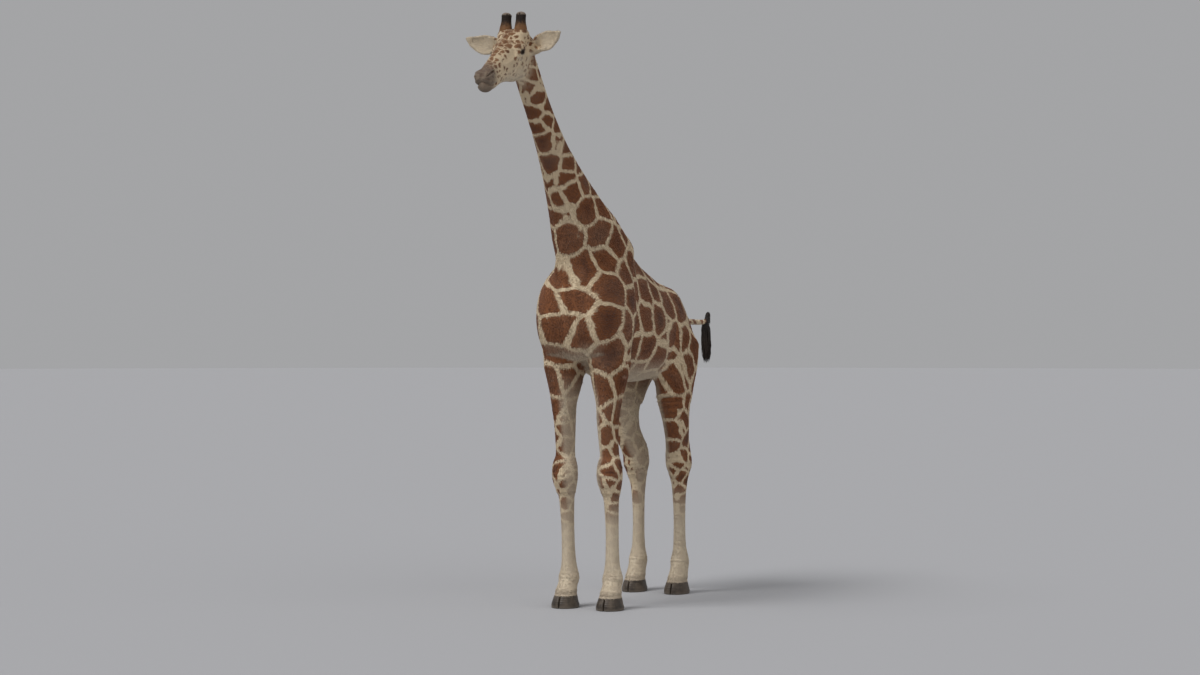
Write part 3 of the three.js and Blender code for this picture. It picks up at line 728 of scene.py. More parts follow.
# ---- meshes from forms ---------------------------------------------------------------------------
@dataclass
class Lattice:
    """A stack of square grids that a form is read on: `cells` gives the cell's size by height.

    `middles` gives the y of each grid's middle by height, and `half` its cells either way.
    """

    bottom: float
    top: float
    cells: Rows
    middles: Rows
    half: tuple[int, int]
    centre_x: float = 0.0
    stride: int = 4

    def __post_init__(self) -> None:
        """Works out the grids' heights."""
        levels = [self.bottom]
        while levels[-1] < self.top:
            levels.append(levels[-1] + float(self.cell(levels[-1])))
        spare = -len(levels) % self.stride
        step = levels[-1] - levels[-2]
        self.levels = np.array(levels + [levels[-1] + step * (k + 1) for k in range(spare)])

    def cell(self, heights: Array | float) -> Array:
        """The cell's size at each height."""
        return by_height(self.cells, heights)

    def place(self, index: Array) -> Array:
        """Places in the frame of places in the lattice."""
        z = np.interp(index[:, 2], np.arange(len(self.levels)), self.levels)
        size = self.cell(z)
        middle = by_height(self.middles, z)
        x = self.centre_x + (index[:, 0] - self.half[0]) * size
        return np.stack([x, middle + (index[:, 1] - self.half[1]) * size, z], 1)

    def read(self, form: Field) -> Array:
        """The form on the lattice: exact near its surface, and only its sign elsewhere."""
        n = self.stride
        counts = [-(-(2 * self.half[0] + 1) // n) * n, -(-(2 * self.half[1] + 1) // n) * n, len(self.levels)]
        coarse = np.stack(np.meshgrid(*[np.arange(n // 2, c, n) for c in counts], indexing="ij"), -1)
        places = self.place(coarse.reshape(-1, 3).astype(float))
        rough = form(places)
        near = np.abs(rough) < self.cell(places[:, 2]) * n * 1.5
        shape = coarse.shape[:3]
        sign = np.where(rough < 0, -1.0, 1.0).reshape(shape)
        values = np.repeat(np.repeat(np.repeat(sign, n, 0), n, 1), n, 2).astype(np.float32)
        blocks = np.argwhere(near.reshape(shape))
        offsets = np.stack(np.meshgrid(*[np.arange(n)] * 3, indexing="ij"), -1).reshape(-1, 3)
        index = (blocks[:, None] * n + offsets).reshape(-1, 3)
        values[tuple(index.T)] = form(self.place(index.astype(float)))
        return values


def slope(form: Field, points: Array, values: Array) -> Array:
    """The form's gradient at points where its values are known."""
    step = 2e-4
    rises = [(form(points + step * np.eye(3)[axis]) - values) / step for axis in range(3)]
    return np.stack(rises, 1)


def settle(form: Field, points: Array, rounds: int) -> tuple[Array, Array]:
    """Points moved onto a form's surface, and the surface's directions there."""
    normals = np.zeros_like(points)
    for _ in range(rounds):
        values = form(points)
        gradient = slope(form, points, values)
        steep = (gradient**2).sum(1)
        move = values[:, None] * gradient / np.maximum(steep, 0.2)[:, None]
        length = np.linalg.norm(move, axis=1, keepdims=True) + 1e-12
        points = points - move * np.minimum(1, 0.012 / length)
        normals = unit(gradient)
    return points, normals


@dataclass
class Surface:
    """A triangle mesh that lies on a form."""

    form: Field
    points: Array
    triangles: Array
    normals: Array = field(default_factory=lambda: np.zeros((0, 3)))

    @classmethod
    def of(cls, form: Field, lattice: Lattice, relax: int = 2) -> "Surface":
        """The form's surface at the lattice's cell sizes."""
        grid = vdb.FloatGrid(1.0)
        grid.copyFromArray(lattice.read(form))
        index, quads = grid.convertToQuads(isovalue=0.0)
        points = lattice.place(np.array(index, float))
        quads = np.array(quads, int)
        a, b, c, d = (points[quads[:, k]] for k in range(4))
        short = ((a - c) ** 2).sum(1) < ((b - d) ** 2).sum(1)
        first = np.where(short[:, None], quads[:, [0, 1, 2]], quads[:, [0, 1, 3]])
        second = np.where(short[:, None], quads[:, [0, 2, 3]], quads[:, [1, 2, 3]])
        surface = cls(form, points, np.vstack([first, second]))
        surface.points, surface.normals = settle(form, surface.points, 2)
        surface.relax(relax)
        surface.face_out()
        return surface

    def face_out(self) -> None:
        """Turns every triangle to face away from the form."""
        a, b, c = (self.points[self.triangles[:, k]] for k in range(3))
        way = (np.cross(b - a, c - a) * self.normals[self.triangles].sum(1)).sum()
        if way < 0:
            self.triangles = self.triangles[:, ::-1].copy()

    def edges(self) -> tuple[Array, Array]:
        """The edges as pairs of points, and each triangle's three edges."""
        t = self.triangles
        pairs = np.sort(np.vstack([t[:, [0, 1]], t[:, [1, 2]], t[:, [2, 0]]]), 1)
        found, which = np.unique(pairs[:, 0] * len(self.points) + pairs[:, 1], return_inverse=True)
        ends = np.stack([found // len(self.points), found % len(self.points)], 1)
        return ends, which.reshape(3, -1).T

    def relax(self, rounds: int) -> None:
        """Evens out the points along the surface."""
        for _ in range(rounds):
            ends, _ = self.edges()
            total = np.zeros_like(self.points)
            count = np.zeros(len(self.points))
            for here, there in ((0, 1), (1, 0)):
                for axis in range(3):
                    weights = self.points[ends[:, there], axis]
                    total[:, axis] += np.bincount(ends[:, here], weights, len(self.points))
                count += np.bincount(ends[:, here], minlength=len(self.points))
            pull = total / np.maximum(count, 1)[:, None] - self.points
            pull -= self.normals * (pull * self.normals).sum(1, keepdims=True)
            self.points, self.normals = settle(self.form, self.points + 0.6 * pull, 1)

    def refine(self, longest: Callable, finest: Callable, bend: float) -> int:
        """Halves the edges that are too long, or that bend too much for their length.

        Args:
            longest: gives the longest edge allowed at each place.
            finest: gives the length under which an edge is left alone.
            bend: the most that the surface may turn along an edge, in radians.

        Returns:
            How many edges were halved.
        """
        ends, own = self.edges()
        a, b = self.points[ends[:, 0]], self.points[ends[:, 1]]
        length = np.linalg.norm(a - b, axis=1)
        middle = (a + b) / 2
        turn = (self.normals[ends[:, 0]] * self.normals[ends[:, 1]]).sum(1)
        split = (length > longest(middle)) | ((turn < math.cos(bend)) & (length > finest(middle)))
        if not split.any():
            return 0
        added, normals = settle(self.form, middle[split], 3)
        number = np.full(len(ends), -1)
        number[split] = len(self.points) + np.arange(int(split.sum()))
        self.points = np.vstack([self.points, added])
        self.normals = np.vstack([self.normals, normals])
        self.triangles = self.divided(number[own])
        return int(split.sum())

    def divided(self, mid: Array) -> Array:
        """The triangles with each halved edge's new point joined in; `mid` is -1 where it is whole."""
        t = self.triangles
        whole = (mid >= 0).sum(1)
        out = [t[whole == 0]]
        for side in range(3):
            i, j, k = side, (side + 1) % 3, (side + 2) % 3
            one = (whole == 1) & (mid[:, i] >= 0)
            m = mid[one, i]
            out.append(np.stack([t[one, i], m, t[one, k]], 1))
            out.append(np.stack([m, t[one, j], t[one, k]], 1))
            two = (whole == 2) & (mid[:, k] < 0)
            p, q = mid[two, i], mid[two, j]
            out.append(np.stack([p, t[two, j], q], 1))
            short = self.gap(t[two, i], q) < self.gap(p, t[two, k])
            first = np.where(short, q, t[two, k])
            out.append(np.stack([t[two, i], p, first], 1))
            second = np.where(short, t[two, i], p)
            out.append(np.stack([second, q, t[two, k]], 1))
        three = whole == 3
        t3, m3 = t[three], mid[three]
        out.append(m3)
        for i in range(3):
            out.append(np.stack([t3[:, i], m3[:, i], m3[:, (i + 2) % 3]], 1))
        return np.vstack(out)

    def gap(self, a: Array, b: Array) -> Array:
        """The distances between numbered points."""
        return np.linalg.norm(self.points[a] - self.points[b], axis=1)


# ---- the coat's markings and lie -----------------------------------------------------------------
# rows of height and of the markings' size there, in metres
PATCH_SIZES = [[0.2, 0.08], [0.9, 0.1], [1.5, 0.17], [2.1, 0.25], [3.1, 0.25], [3.7, 0.17], [4.3, 0.12]]
TUFT_ON_MAP = 0.003  # a tuft's length on the bake map
EDGE, SPAN = 0.03, 0.94  # the bake map's empty edge, and what lies within it
ACROSS = 0.7  # the markings' crowding from side to side
MARK_SHIFT = (0.35, 0.6, 0.15)  # which part of the pattern falls on the body
LEG_X = 0.213  # the legs' middle lines
LEG_Y = (-0.36, 1.05)  # the front legs and the hind legs
LEG_TOP = 2.1  # markings count from the legs' middle lines under it, and from the neck's above it
BELLY_Y = 0.45  # parts the front legs from the hind legs
TRUNK_Z = 2.5  # the height whose markings set the scale of their places
JAW_Y = -1.55  # where the neck gives way to the face


def marking_places(points: Array) -> Array:
    """Places in which every marking is one unit across, shrunk evenly towards the feet and the head."""
    levels = np.linspace(0, 5.2, 521)
    sizes = by_height(PATCH_SIZES, levels)
    climb = np.cumsum(1 / sizes) * (levels[1] - levels[0])
    x, y, z = points.T
    size = by_height(PATCH_SIZES, z)
    low = z < LEG_TOP
    side = np.where(x < 0, -LEG_X, LEG_X) * low
    neck = Tube(middle_rows(NECK), 120).line
    neck_y = np.interp(levels, neck[:, 2], neck[:, 1])
    lean = np.concatenate([[0], np.cumsum(np.diff(neck_y) / sizes[1:])])
    leg = np.where(y < BELLY_Y, *LEG_Y)
    high_axis = np.interp(z, levels, neck_y)
    axis = np.where(low, leg, high_axis)
    start = sizes[np.searchsorted(levels, TRUNK_Z)]
    run = np.where(low, leg / start, np.interp(z, levels, lean) + neck_y[0] / start)
    across = ACROSS * (side / start + (x - side) / size)
    return np.stack([across, run + (y - axis) / size, np.interp(z, levels, climb)], 1) + MARK_SHIFT


def tones(points: Array, normals: Array) -> Array:
    """How the markings change over the body.

    Args:
        points: places on the skin.
        normals: the skin's directions there.

    Returns:
        The pale lines' half width in markings, the paleness, and the greyness of each place.
    """
    x, y, z = points.T
    face = ramp(-y, -JAW_Y - 0.06, -JAW_Y + 0.1) * ramp(z, 4.2, 4.3)
    leg = 1 - ramp(z, 0.8, 1.9)
    line = 0.055 + 0.035 * leg + 0.025 * ramp(z, 3.3, 4.2)
    under = ramp(-normals[:, 2], 0.35, 0.9) * ramp(z, 1.5, 1.8) * (1 - ramp(z, 2.35, 2.6))
    inside = ramp(-normals[:, 0] * np.sign(x), 0.1, 0.8) * (1 - ramp(z, 1.75, 2.05))
    shank = 1 - ramp(z, 0.62, 1.06)
    bridge = ramp(normals[:, 2], 0.25, 0.75) * face
    jaw = ramp(-normals[:, 2], 0.1, 0.7) * ramp(z, 4.15, 4.3) * ramp(-y, 1.5, 1.6)
    ear = ramp(np.abs(x), 0.19, 0.24) * (z > 4.3)
    ear_front = ear * ramp(-normals[:, 1], -0.1, 0.4)
    pale = np.maximum.reduce([0.85 * under, 0.7 * inside, 0.9 * shank, 0.75 * jaw, 0.9 * ear_front])
    pale = np.maximum(pale, 0.25 * ear)
    line = line * (1 - 0.9 * bridge)
    muzzle = ramp(-y, 2.03, 2.15) * (z > 4.2)
    feet = 0.35 * (1 - ramp(z, 0.11, 0.2))
    grey = np.maximum(0.85 * muzzle, feet)
    return np.stack([line, np.clip(pale, 0, 1), np.clip(grey, 0, 1)], 1)


def faceness(points: Array) -> Array:
    """How far a place belongs to the face, where the markings are small."""
    return ramp(-points[:, 1], -JAW_Y - 0.08, -JAW_Y + 0.08) * ramp(points[:, 2], 4.2, 4.32)


def lid_rims_and_painted_shade(points: Array) -> Array:
    """How dark a place is: painted shade inside the nostrils, along the mouth and within the eye openings,
    and the lids' own dark rims round the eyes.
    """
    q = on_left(points)
    across, up, away = EYE_SOCKET.local(q).T
    oval = np.hypot(across / 0.026, (up - 0.001) / 0.0175)
    eye = (1 - ramp(oval, 0.85, 1.35)) * (np.abs(away) < 0.05)
    nose = 1 - ramp(NOSTRIL(q), -0.002, 0.006)
    lips = 1 - ramp(LIPS(q), 0.001, 0.008)
    return np.maximum.reduce([0.9 * eye, nose, 0.9 * lips])


class Zone(Enum):
    """The parts of the skin that have their own unwrap."""

    TRUNK = 0
    NECK = 1
    FACE = 2
    FORELEG = 3
    HINDLEG = 4
    TAIL = 5
    EAR = 6


@dataclass
class Lie:
    """Which way the coat lies, and where each place is on the unwrap of its part of the skin."""

    body: Body
    fade: float = 0.04

    def __post_init__(self) -> None:
        """Lists the tubes, each with the way of its hair."""
        b = self.body
        self.tubes = {
            Zone.TRUNK: (b.trunk, 1),
            Zone.NECK: (b.neck, -1),
            Zone.FACE: (b.face, -1),
            Zone.FORELEG: (b.foreleg, 1),
            Zone.HINDLEG: (b.hindleg, 1),
            Zone.TAIL: (b.tail, 1),
            Zone.EAR: (b.ear, 1),
        }

    def read(self, points: Array, normals: Array) -> tuple[Array, Array, Array]:
        """The coat's lie over the skin.

        Args:
            points: places on the skin.
            normals: the skin's directions there.

        Returns:
            The way the hair lies, the zone's number, and the place on that zone's unwrap.
        """
        q = on_left(points)
        charts = [tube.chart(q) for tube, _ in self.tubes.values()]
        gaps = np.stack([chart[0] for chart in charts])
        zone = gaps.argmin(0)
        weight = np.exp(-(gaps - gaps.min(0)) / self.fade)
        way = np.zeros_like(points)
        place = np.zeros((len(points), 2))
        for k, (chart, (_, sense)) in enumerate(zip(charts, self.tubes.values())):
            way += weight[k][:, None] * chart[3] * sense
            own = zone == k
            place[own] = np.stack([chart[1][own], chart[2][own]], 1)
        way[:, 0] *= np.where(points[:, 0] < 0, -1, 1)
        way += [0, 0.1, -0.25]
        way = unit(way - normals * (way * normals).sum(1, keepdims=True))
        place[:, 0] = (place[:, 0] + (points[:, 0] < 0)) / 2
        return way, zone, EDGE + SPAN * place


# ---- finishes ------------------------------------------------------------------------------------
class Paint:
    """A material's nodes, added one after another."""

    def __init__(self, name: str) -> None:
        """Starts a material with its shader joined to the output."""
        self.material = bpy.data.materials.new(name)
        self.material.use_nodes = True
        self.tree = self.material.node_tree
        self.shader = next(n for n in self.tree.nodes if n.type == "BSDF_PRINCIPLED")

    def node(self, kind: str, settings: dict | None = None, **inputs) -> Node:
        """Adds a node; an input is a value or another node's output."""
        node = self.tree.nodes.new(kind)
        for name, value in (settings or {}).items():
            setattr(node, name, value)
        for name, value in inputs.items():
            self.feed(node.inputs[name.replace("_", " ")], value)
        return node

    def feed(self, socket: Socket, value: object) -> None:
        """Gives a socket a value, or joins it to an output."""
        if isinstance(value, Socket):
            self.tree.links.new(value, socket)
        else:
            socket.default_value = value

    def shade(self, **inputs) -> None:
        """Sets the shader's own sockets."""
        for name, value in inputs.items():
            self.feed(self.shader.inputs[name.replace("_", " ")], value)

    def blend(self, share: object, first: object, second: object, kind: str = "MIX") -> Socket:
        """The colour part of the way from the first to the second."""
        node = self.node("ShaderNodeMix", {"data_type": "RGBA", "blend_type": kind, "clamp_factor": True})
        self.feed(node.inputs[0], share)
        self.feed(node.inputs[6], first)
        self.feed(node.inputs[7], second)
        return node.outputs[2]

    def span(self, value: object, low: object, high: object, start: float = 0, end: float = 1) -> Socket:
        """The value's share of the way from low to high, as a number from start to end."""
        node = self.node("ShaderNodeMapRange", {"interpolation_type": "SMOOTHSTEP"})
        for name, given in (("Value", value), ("From Min", low), ("From Max", high)):
            self.feed(node.inputs[name], given)
        self.feed(node.inputs["To Min"], start)
        self.feed(node.inputs["To Max"], end)
        return node.outputs[0]

    def sum(self, kind: str, first: object, second: object) -> Socket:
        """Two numbers added, or put together in another way."""
        node = self.node("ShaderNodeMath", {"operation": kind})
        self.feed(node.inputs[0], first)
        self.feed(node.inputs[1], second)
        return node.outputs[0]

    def noise(self, scale: float, detail: float = 2, where: object = None) -> Node:
        """Noise at a scale, in the object's own places unless others are given."""
        places = where or self.node("ShaderNodeTexCoord").outputs["Object"]
        return self.node("ShaderNodeTexNoise", Vector=places, Scale=scale, Detail=detail)

    def attribute(self, name: str) -> Node:
        """A value that the mesh carries."""
        return self.node("ShaderNodeAttribute", {"attribute_name": name})

    def bump(self, height: object, strength: float, distance: float) -> None:
        """Raises the surface by a height."""
        node = self.node("ShaderNodeBump", Height=height, Strength=strength, Distance=distance)
        self.feed(self.shader.inputs["Normal"], node.outputs[0])


@dataclass(frozen=True)
class Palette:
    """The coat's colours, as red, green and blue light from 0 to 1."""

    patch: tuple = (0.235, 0.082, 0.026, 1)
    heart: tuple = (0.115, 0.036, 0.013, 1)
    line: tuple = (0.76, 0.61, 0.41, 1)
    cream: tuple = (0.74, 0.63, 0.47, 1)
    grey: tuple = (0.19, 0.135, 0.1, 1)
    face: tuple = (0.3, 0.145, 0.062, 1)
    shadow: tuple = (0.03, 0.016, 0.01, 1)
    dust: tuple = (0.5, 0.4, 0.3, 1)
    # painted shade for the nostrils, the mouth and the eye openings, and the lids' own dark rims
    dark: tuple = (0.016, 0.011, 0.009, 1)


def coat_material(colours: Palette) -> Material:
    """The coat: polygon patches with darker hearts between pale lines, fading to cream and grey."""
    paint = Paint("giraffe_coat")
    mark = paint.attribute("mark").outputs["Vector"]
    tone = paint.node("ShaderNodeSeparateXYZ", Vector=paint.attribute("tone").outputs["Vector"])
    face = paint.attribute("face").outputs["Fac"]
    wobble = paint.noise(1.7, 3, mark)
    drift = paint.node("ShaderNodeVectorMath", {"operation": "SCALE"})
    paint.feed(drift.inputs[0], wobble.outputs["Color"])
    paint.feed(drift.inputs["Scale"], 0.34)
    moved = paint.node("ShaderNodeVectorMath", {"operation": "ADD"})
    paint.feed(moved.inputs[0], mark)
    paint.feed(moved.inputs[1], drift.outputs[0])
    layers = []
    for scale, spread in ((1.0, 1.0), (2.7, 2.6)):
        edge = paint.node(
            "ShaderNodeTexVoronoi", {"feature": "DISTANCE_TO_EDGE"},
            Vector=moved.outputs[0], Scale=scale, Randomness=0.82,
        )
        width = paint.sum("MULTIPLY", tone.outputs[0], spread)
        outer = paint.sum("ADD", width, 0.03)
        inside = paint.span(edge.outputs["Distance"], width, outer)
        heart = paint.span(edge.outputs["Distance"], 0.12, 0.42)
        cell = paint.node(
            "ShaderNodeTexVoronoi", {"feature": "F1"},
            Vector=moved.outputs[0], Scale=scale, Randomness=0.82,
        )
        shade = paint.node("ShaderNodeSeparateColor", Color=cell.outputs["Color"])
        share = paint.sum("MULTIPLY", heart, paint.span(shade.outputs[0], 0, 1, 0.25, 0.95))
        base = colours.patch if scale == 1.0 else colours.face
        layers.append(paint.blend(inside, colours.line, paint.blend(share, base, colours.heart)))
    colour = paint.blend(face, layers[0], layers[1])
    colour = paint.blend(tone.outputs[1], colour, colours.cream)
    colour = paint.blend(tone.outputs[2], colour, colours.grey)
    strands = paint.noise(230, 3)
    colour = paint.blend(paint.span(strands.outputs["Fac"], 0.35, 0.7, 0.0, 0.15), colour, colours.shadow)
    dust = paint.noise(3.1, 3)
    colour = paint.blend(paint.span(dust.outputs["Fac"], 0.45, 0.75, 0.0, 0.12), colour, colours.dust)
    # painted shade inside the nostrils, along the mouth and in the eye openings, with the lids' own dark rims
    colour = paint.blend(paint.attribute("shade").outputs["Fac"], colour, colours.dark)
    paint.shade(Base_Color=colour, Roughness=0.72, Specular_IOR_Level=0.28)
    paint.shade(Sheen_Weight=0.12, Sheen_Roughness=0.5)
    paint.bump(strands.outputs["Fac"], 0.35, 0.0025)
    return paint.material


def hair_material(name: str, root: tuple, tip: tuple, gloss: float = 0.5) -> Material:
    """Long hair, darker or paler from root to tip."""
    paint = Paint(name)
    along = paint.attribute("run").outputs["Fac"]
    strands = paint.noise(160, 3)
    share = paint.sum("ADD", along, paint.span(strands.outputs["Fac"], 0.3, 0.7, -0.25, 0.25))
    paint.shade(Base_Color=paint.blend(share, root, tip), Roughness=gloss, Specular_IOR_Level=0.35)
    paint.bump(strands.outputs["Fac"], 0.3, 0.002)
    return paint.material


def horn_material() -> Material:
    """The hooves: dark horn with growth rings and scuffed edges."""
    paint = Paint("giraffe_hoof_horn")
    places = paint.node("ShaderNodeTexCoord").outputs["Object"]
    split = paint.node("ShaderNodeSeparateXYZ", Vector=places)
    cloud = paint.noise(14, 4)
    rings = paint.noise(1, 2)
    height = paint.node("ShaderNodeCombineXYZ", Z=paint.sum("MULTIPLY", split.outputs[2], 150))
    paint.feed(rings.inputs["Vector"], height.outputs[0])
    share = paint.span(cloud.outputs["Fac"], 0.35, 0.7)
    colour = paint.blend(share, (0.045, 0.034, 0.026, 1), (0.12, 0.092, 0.068, 1))
    worn = paint.span(split.outputs[2], 0.03, 0.0, 0.0, 0.6)
    colour = paint.blend(worn, colour, (0.2, 0.165, 0.13, 1))
    rough = paint.span(cloud.outputs["Fac"], 0.3, 0.7, 0.38, 0.62)
    paint.shade(Base_Color=colour, Roughness=rough, Specular_IOR_Level=0.4)
    paint.bump(rings.outputs["Fac"], 0.35, 0.002)
    return paint.material


def ossicone_material() -> Material:
    """The ossicones: short brown hair, black higher up, with pale bald tops."""
    paint = Paint("giraffe_ossicone")
    places = paint.node("ShaderNodeTexCoord").outputs["Object"]
    split = paint.node("ShaderNodeSeparateXYZ", Vector=places)
    cloud = paint.noise(60, 4)
    lift = paint.sum("ADD", split.outputs[2], paint.span(cloud.outputs["Fac"], 0.3, 0.7, -0.012, 0.012))
    colour = paint.blend(paint.span(lift, 4.8, 4.86), (0.25, 0.125, 0.055, 1), (0.03, 0.02, 0.015, 1))
    colour = paint.blend(paint.span(lift, 4.902, 4.916), colour, (0.2, 0.155, 0.12, 1))
    paint.shade(Base_Color=colour, Roughness=0.7, Specular_IOR_Level=0.3)
    paint.bump(paint.noise(260, 3).outputs["Fac"], 0.4, 0.002)
    return paint.material


def eye_material() -> Material:
    """The eyes: a wide dark pupil in a deep brown iris, under a wet surface."""
    paint = Paint("giraffe_eye")
    gaze = paint.node("ShaderNodeSeparateXYZ", Vector=paint.attribute("gaze").outputs["Vector"])
    across = paint.sum("MULTIPLY", gaze.outputs[0], 0.62)
    flat = paint.node("ShaderNodeCombineXYZ", X=across, Y=gaze.outputs[1])
    reach = paint.node("ShaderNodeVectorMath", {"operation": "LENGTH"})
    paint.feed(reach.inputs[0], flat.outputs[0])
    rays = paint.noise(9, 4, paint.attribute("gaze").outputs["Vector"])
    share = paint.span(rays.outputs["Fac"], 0.3, 0.7)
    iris = paint.blend(share, (0.018, 0.008, 0.004, 1), (0.065, 0.028, 0.011, 1))
    colour = paint.blend(paint.span(reach.outputs["Value"], 0.24, 0.3), (0.002, 0.002, 0.003, 1), iris)
    colour = paint.blend(paint.span(reach.outputs["Value"], 0.44, 0.56), colour, (0.02, 0.012, 0.01, 1))
    paint.shade(Base_Color=colour, Roughness=0.1, Specular_IOR_Level=0.15)
    paint.shade(Coat_Weight=0.4, Coat_Roughness=0.03)
    return paint.material


def floor_material() -> Material:
    """A plain pale floor."""
    paint = Paint("studio_floor")
    grain = paint.noise(90, 2)
    share = paint.span(grain.outputs["Fac"], 0.3, 0.7, 0, 1)
    colour = paint.blend(share, (0.435, 0.436, 0.45, 1), (0.445, 0.446, 0.46, 1))
    paint.shade(Base_Color=colour, Roughness=0.9, Specular_IOR_Level=0.1)
    return paint.material


# ---- pieces --------------------------------------------------------------------------------------
def mesh_object(name: str, points: Array, triangles: Array, material: Material) -> Piece:
    """A smooth-shaded object of one triangle mesh, at the origin."""
    mesh = bpy.data.meshes.new(name)
    mesh.vertices.add(len(points))
    mesh.vertices.foreach_set("co", points.astype(np.float32).ravel())
    mesh.loops.add(triangles.size)
    mesh.loops.foreach_set("vertex_index", triangles.astype(np.int32).ravel())
    mesh.polygons.add(len(triangles))
    mesh.polygons.foreach_set("loop_start", np.arange(0, triangles.size, 3, dtype=np.int32))
    mesh.update(calc_edges=True)
    mesh.shade_smooth()
    mesh.materials.append(material)
    obj = bpy.data.objects.new(name, mesh)
    bpy.context.scene.collection.objects.link(obj)
    return obj


def carry(mesh: Mesh, **values: Array) -> None:
    """Stores values on a mesh's points for its material or its node tree."""
    for name, value in values.items():
        single = value.ndim == 1
        attribute = mesh.attributes.new(name, "FLOAT" if single else "FLOAT_VECTOR", "POINT")
        attribute.data.foreach_set("value" if single else "vector", value.astype(np.float32).ravel())


def settled_piece(obj: Piece, nodes: Sequence[str] = ()) -> None:
    """Puts a piece on the model's body, in the place of CAD nodes."""
    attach(obj, "root")
    if nodes:
        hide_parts(*nodes)


def both_sides(points: Array, triangles: Array) -> tuple[Array, Array]:
    """A left-hand mesh with its mirror image added."""
    mirrored = points * [-1, 1, 1]
    return np.vstack([points, mirrored]), np.vstack([triangles, triangles[:, ::-1] + len(points)])


def strands(paths: Array, radii: Array, sides: int) -> tuple[Array, Array, Array]:
    """Closed thin tubes that run to a point at both ends.

    Args:
        paths: each strand's line of places.
        radii: each strand's half width at each of those places; the ends are drawn to points.
        sides: how many sides a strand has.

    Returns:
        The points, the triangles, and each point's share of its strand's run.
    """
    count, steps, _ = paths.shape
    along = unit(np.gradient(paths, axis=1))
    first = unit(np.cross(along, [0.31, 0.52, 0.8]))
    second = np.cross(along, first)
    turns = np.arange(sides) / sides * math.tau
    ring = first[:, :, None] * np.cos(turns)[:, None] + second[:, :, None] * np.sin(turns)[:, None]
    middle = paths[:, 1:-1, None] + ring[:, 1:-1] * radii[:, 1:-1, None, None]
    rings = steps - 2
    points = np.concatenate([paths[:, :1], middle.reshape(count, -1, 3), paths[:, -1:]], 1)
    total = points.shape[1]
    k = np.arange(sides)
    after = (k + 1) % sides
    faces = [np.stack([k * 0, 1 + after, 1 + k], 1)]
    for r in range(rings - 1):
        low, high = 1 + r * sides, 1 + (r + 1) * sides
        faces.append(np.stack([low + k, low + after, high + k], 1))
        faces.append(np.stack([low + after, high + after, high + k], 1))
    last = 1 + (rings - 1) * sides
    faces.append(np.stack([last + k, last + after, k * 0 + total - 1], 1))
    one = np.vstack(faces)
    triangles = (one[None] + np.arange(count)[:, None, None] * total).reshape(-1, 3)
    share = np.concatenate([[0], np.repeat(np.arange(1, steps - 1), sides) / (steps - 1), [1]])
    return points.reshape(-1, 3), triangles, np.tile(share, count)


def lay_out(mesh: Mesh, places: Array) -> None:
    """Gives a mesh its bake map, from each point's place on it."""
    corners = np.zeros(len(mesh.loops), np.int32)
    mesh.loops.foreach_get("vertex_index", corners)
    layer = mesh.uv_layers.new(name="OFBake")
    layer.data.foreach_set("uv", places[corners].astype(np.float32).ravel())


def strand_places(places: Array, run: Array, sides: int) -> Array:
    """Each strand point's place on the bake map: a small patch at its strand's own place."""
    along = run.reshape(len(places), -1)
    around = np.arange(along.shape[1]) % sides / (sides - 1) - 0.5
    patch = np.stack([along, np.broadcast_to(around, along.shape)], -1) * TUFT_ON_MAP
    return (places[:, None] + patch).reshape(-1, 2)


FLESH = ["chest", "barrel", "hindquarters"]
FLESH += [f"neck_{part}" for part in ("base", "lower", "middle", "upper")]
FLESH += ["head", "tail", "ear_left", "ear_right"]
FLESH += [f"fore_{s}_{part}" for s in SIDES for part in ("forearm", "knee", "cannon", "pastern")]
FLESH += [f"hind_{s}_{part}" for s in SIDES for part in ("gaskin", "hock", "cannon", "pastern")]
# rows of height and of the cell's size there, finest over the head
SKIN_CELLS = [
    [0.0, 0.013], [0.35, 0.014], [1.0, 0.016], [1.7, 0.018], [2.1, 0.024],
    [3.0, 0.026], [3.6, 0.02], [4.1, 0.014], [4.3, 0.0088], [4.6, 0.0068], [5.0, 0.0068],
]
# rows of height and of the animal's middle there, from its feet to its head
SKIN_MIDDLES = [
    [0.0, 0.4], [2.0, 0.42], [2.6, 0.55], [3.1, 0.1], [3.5, -0.7],
    [4.0, -1.15], [4.4, -1.7], [4.7, -1.75], [5.0, -1.65],
]


@dataclass
class Skin:
    """The one skin over all of the flesh."""

    body: Body
    surface: Surface = field(init=False)

    def __post_init__(self) -> None:
        """Meshes the form, finest round the eyes and over the head."""
        lattice = Lattice(0.05, 4.99, SKIN_CELLS, SKIN_MIDDLES, (66, 72))
        self.surface = Surface.of(self.body, lattice)
        for _ in range(3):
            added = self.surface.refine(self.longest, self.finest, math.radians(20))
            log.info("refined the skin by %d points to %d triangles", added, len(self.surface.triangles))
        self.surface.relax(1)

    @staticmethod
    def longest(points: Array) -> Array:
        """The longest edge allowed."""
        return np.where(points[:, 2] > 4.3, 0.013, 0.04)

    @staticmethod
    def finest(points: Array) -> Array:
        """The edge length that is left alone."""
        q = on_left(points)
        near_eye = np.linalg.norm(q - EYE_SOCKET.middle, axis=1) < 0.05
        near_mouth = (LIPS(q) < 0.012) | (NOSTRIL(q) < 0.01)
        size = np.where(points[:, 2] > 4.25, 0.0055, 0.013)
        return np.where(near_eye, 0.0025, np.where(near_mouth, 0.0035, size))

    def build(self, material: Material) -> None:
        """Makes the skin's object."""
        surface = self.surface
        obj = mesh_object("skin", surface.points, surface.triangles, material)
        carry(
            obj.data,
            mark=marking_places(surface.points),
            tone=tones(surface.points, surface.normals),
            face=faceness(surface.points),
            # shade: painted shade in the nostrils, mouth and eye openings, and the lids' own dark rims
            shade=lid_rims_and_painted_shade(surface.points),
        )
        settled_piece(obj, FLESH)


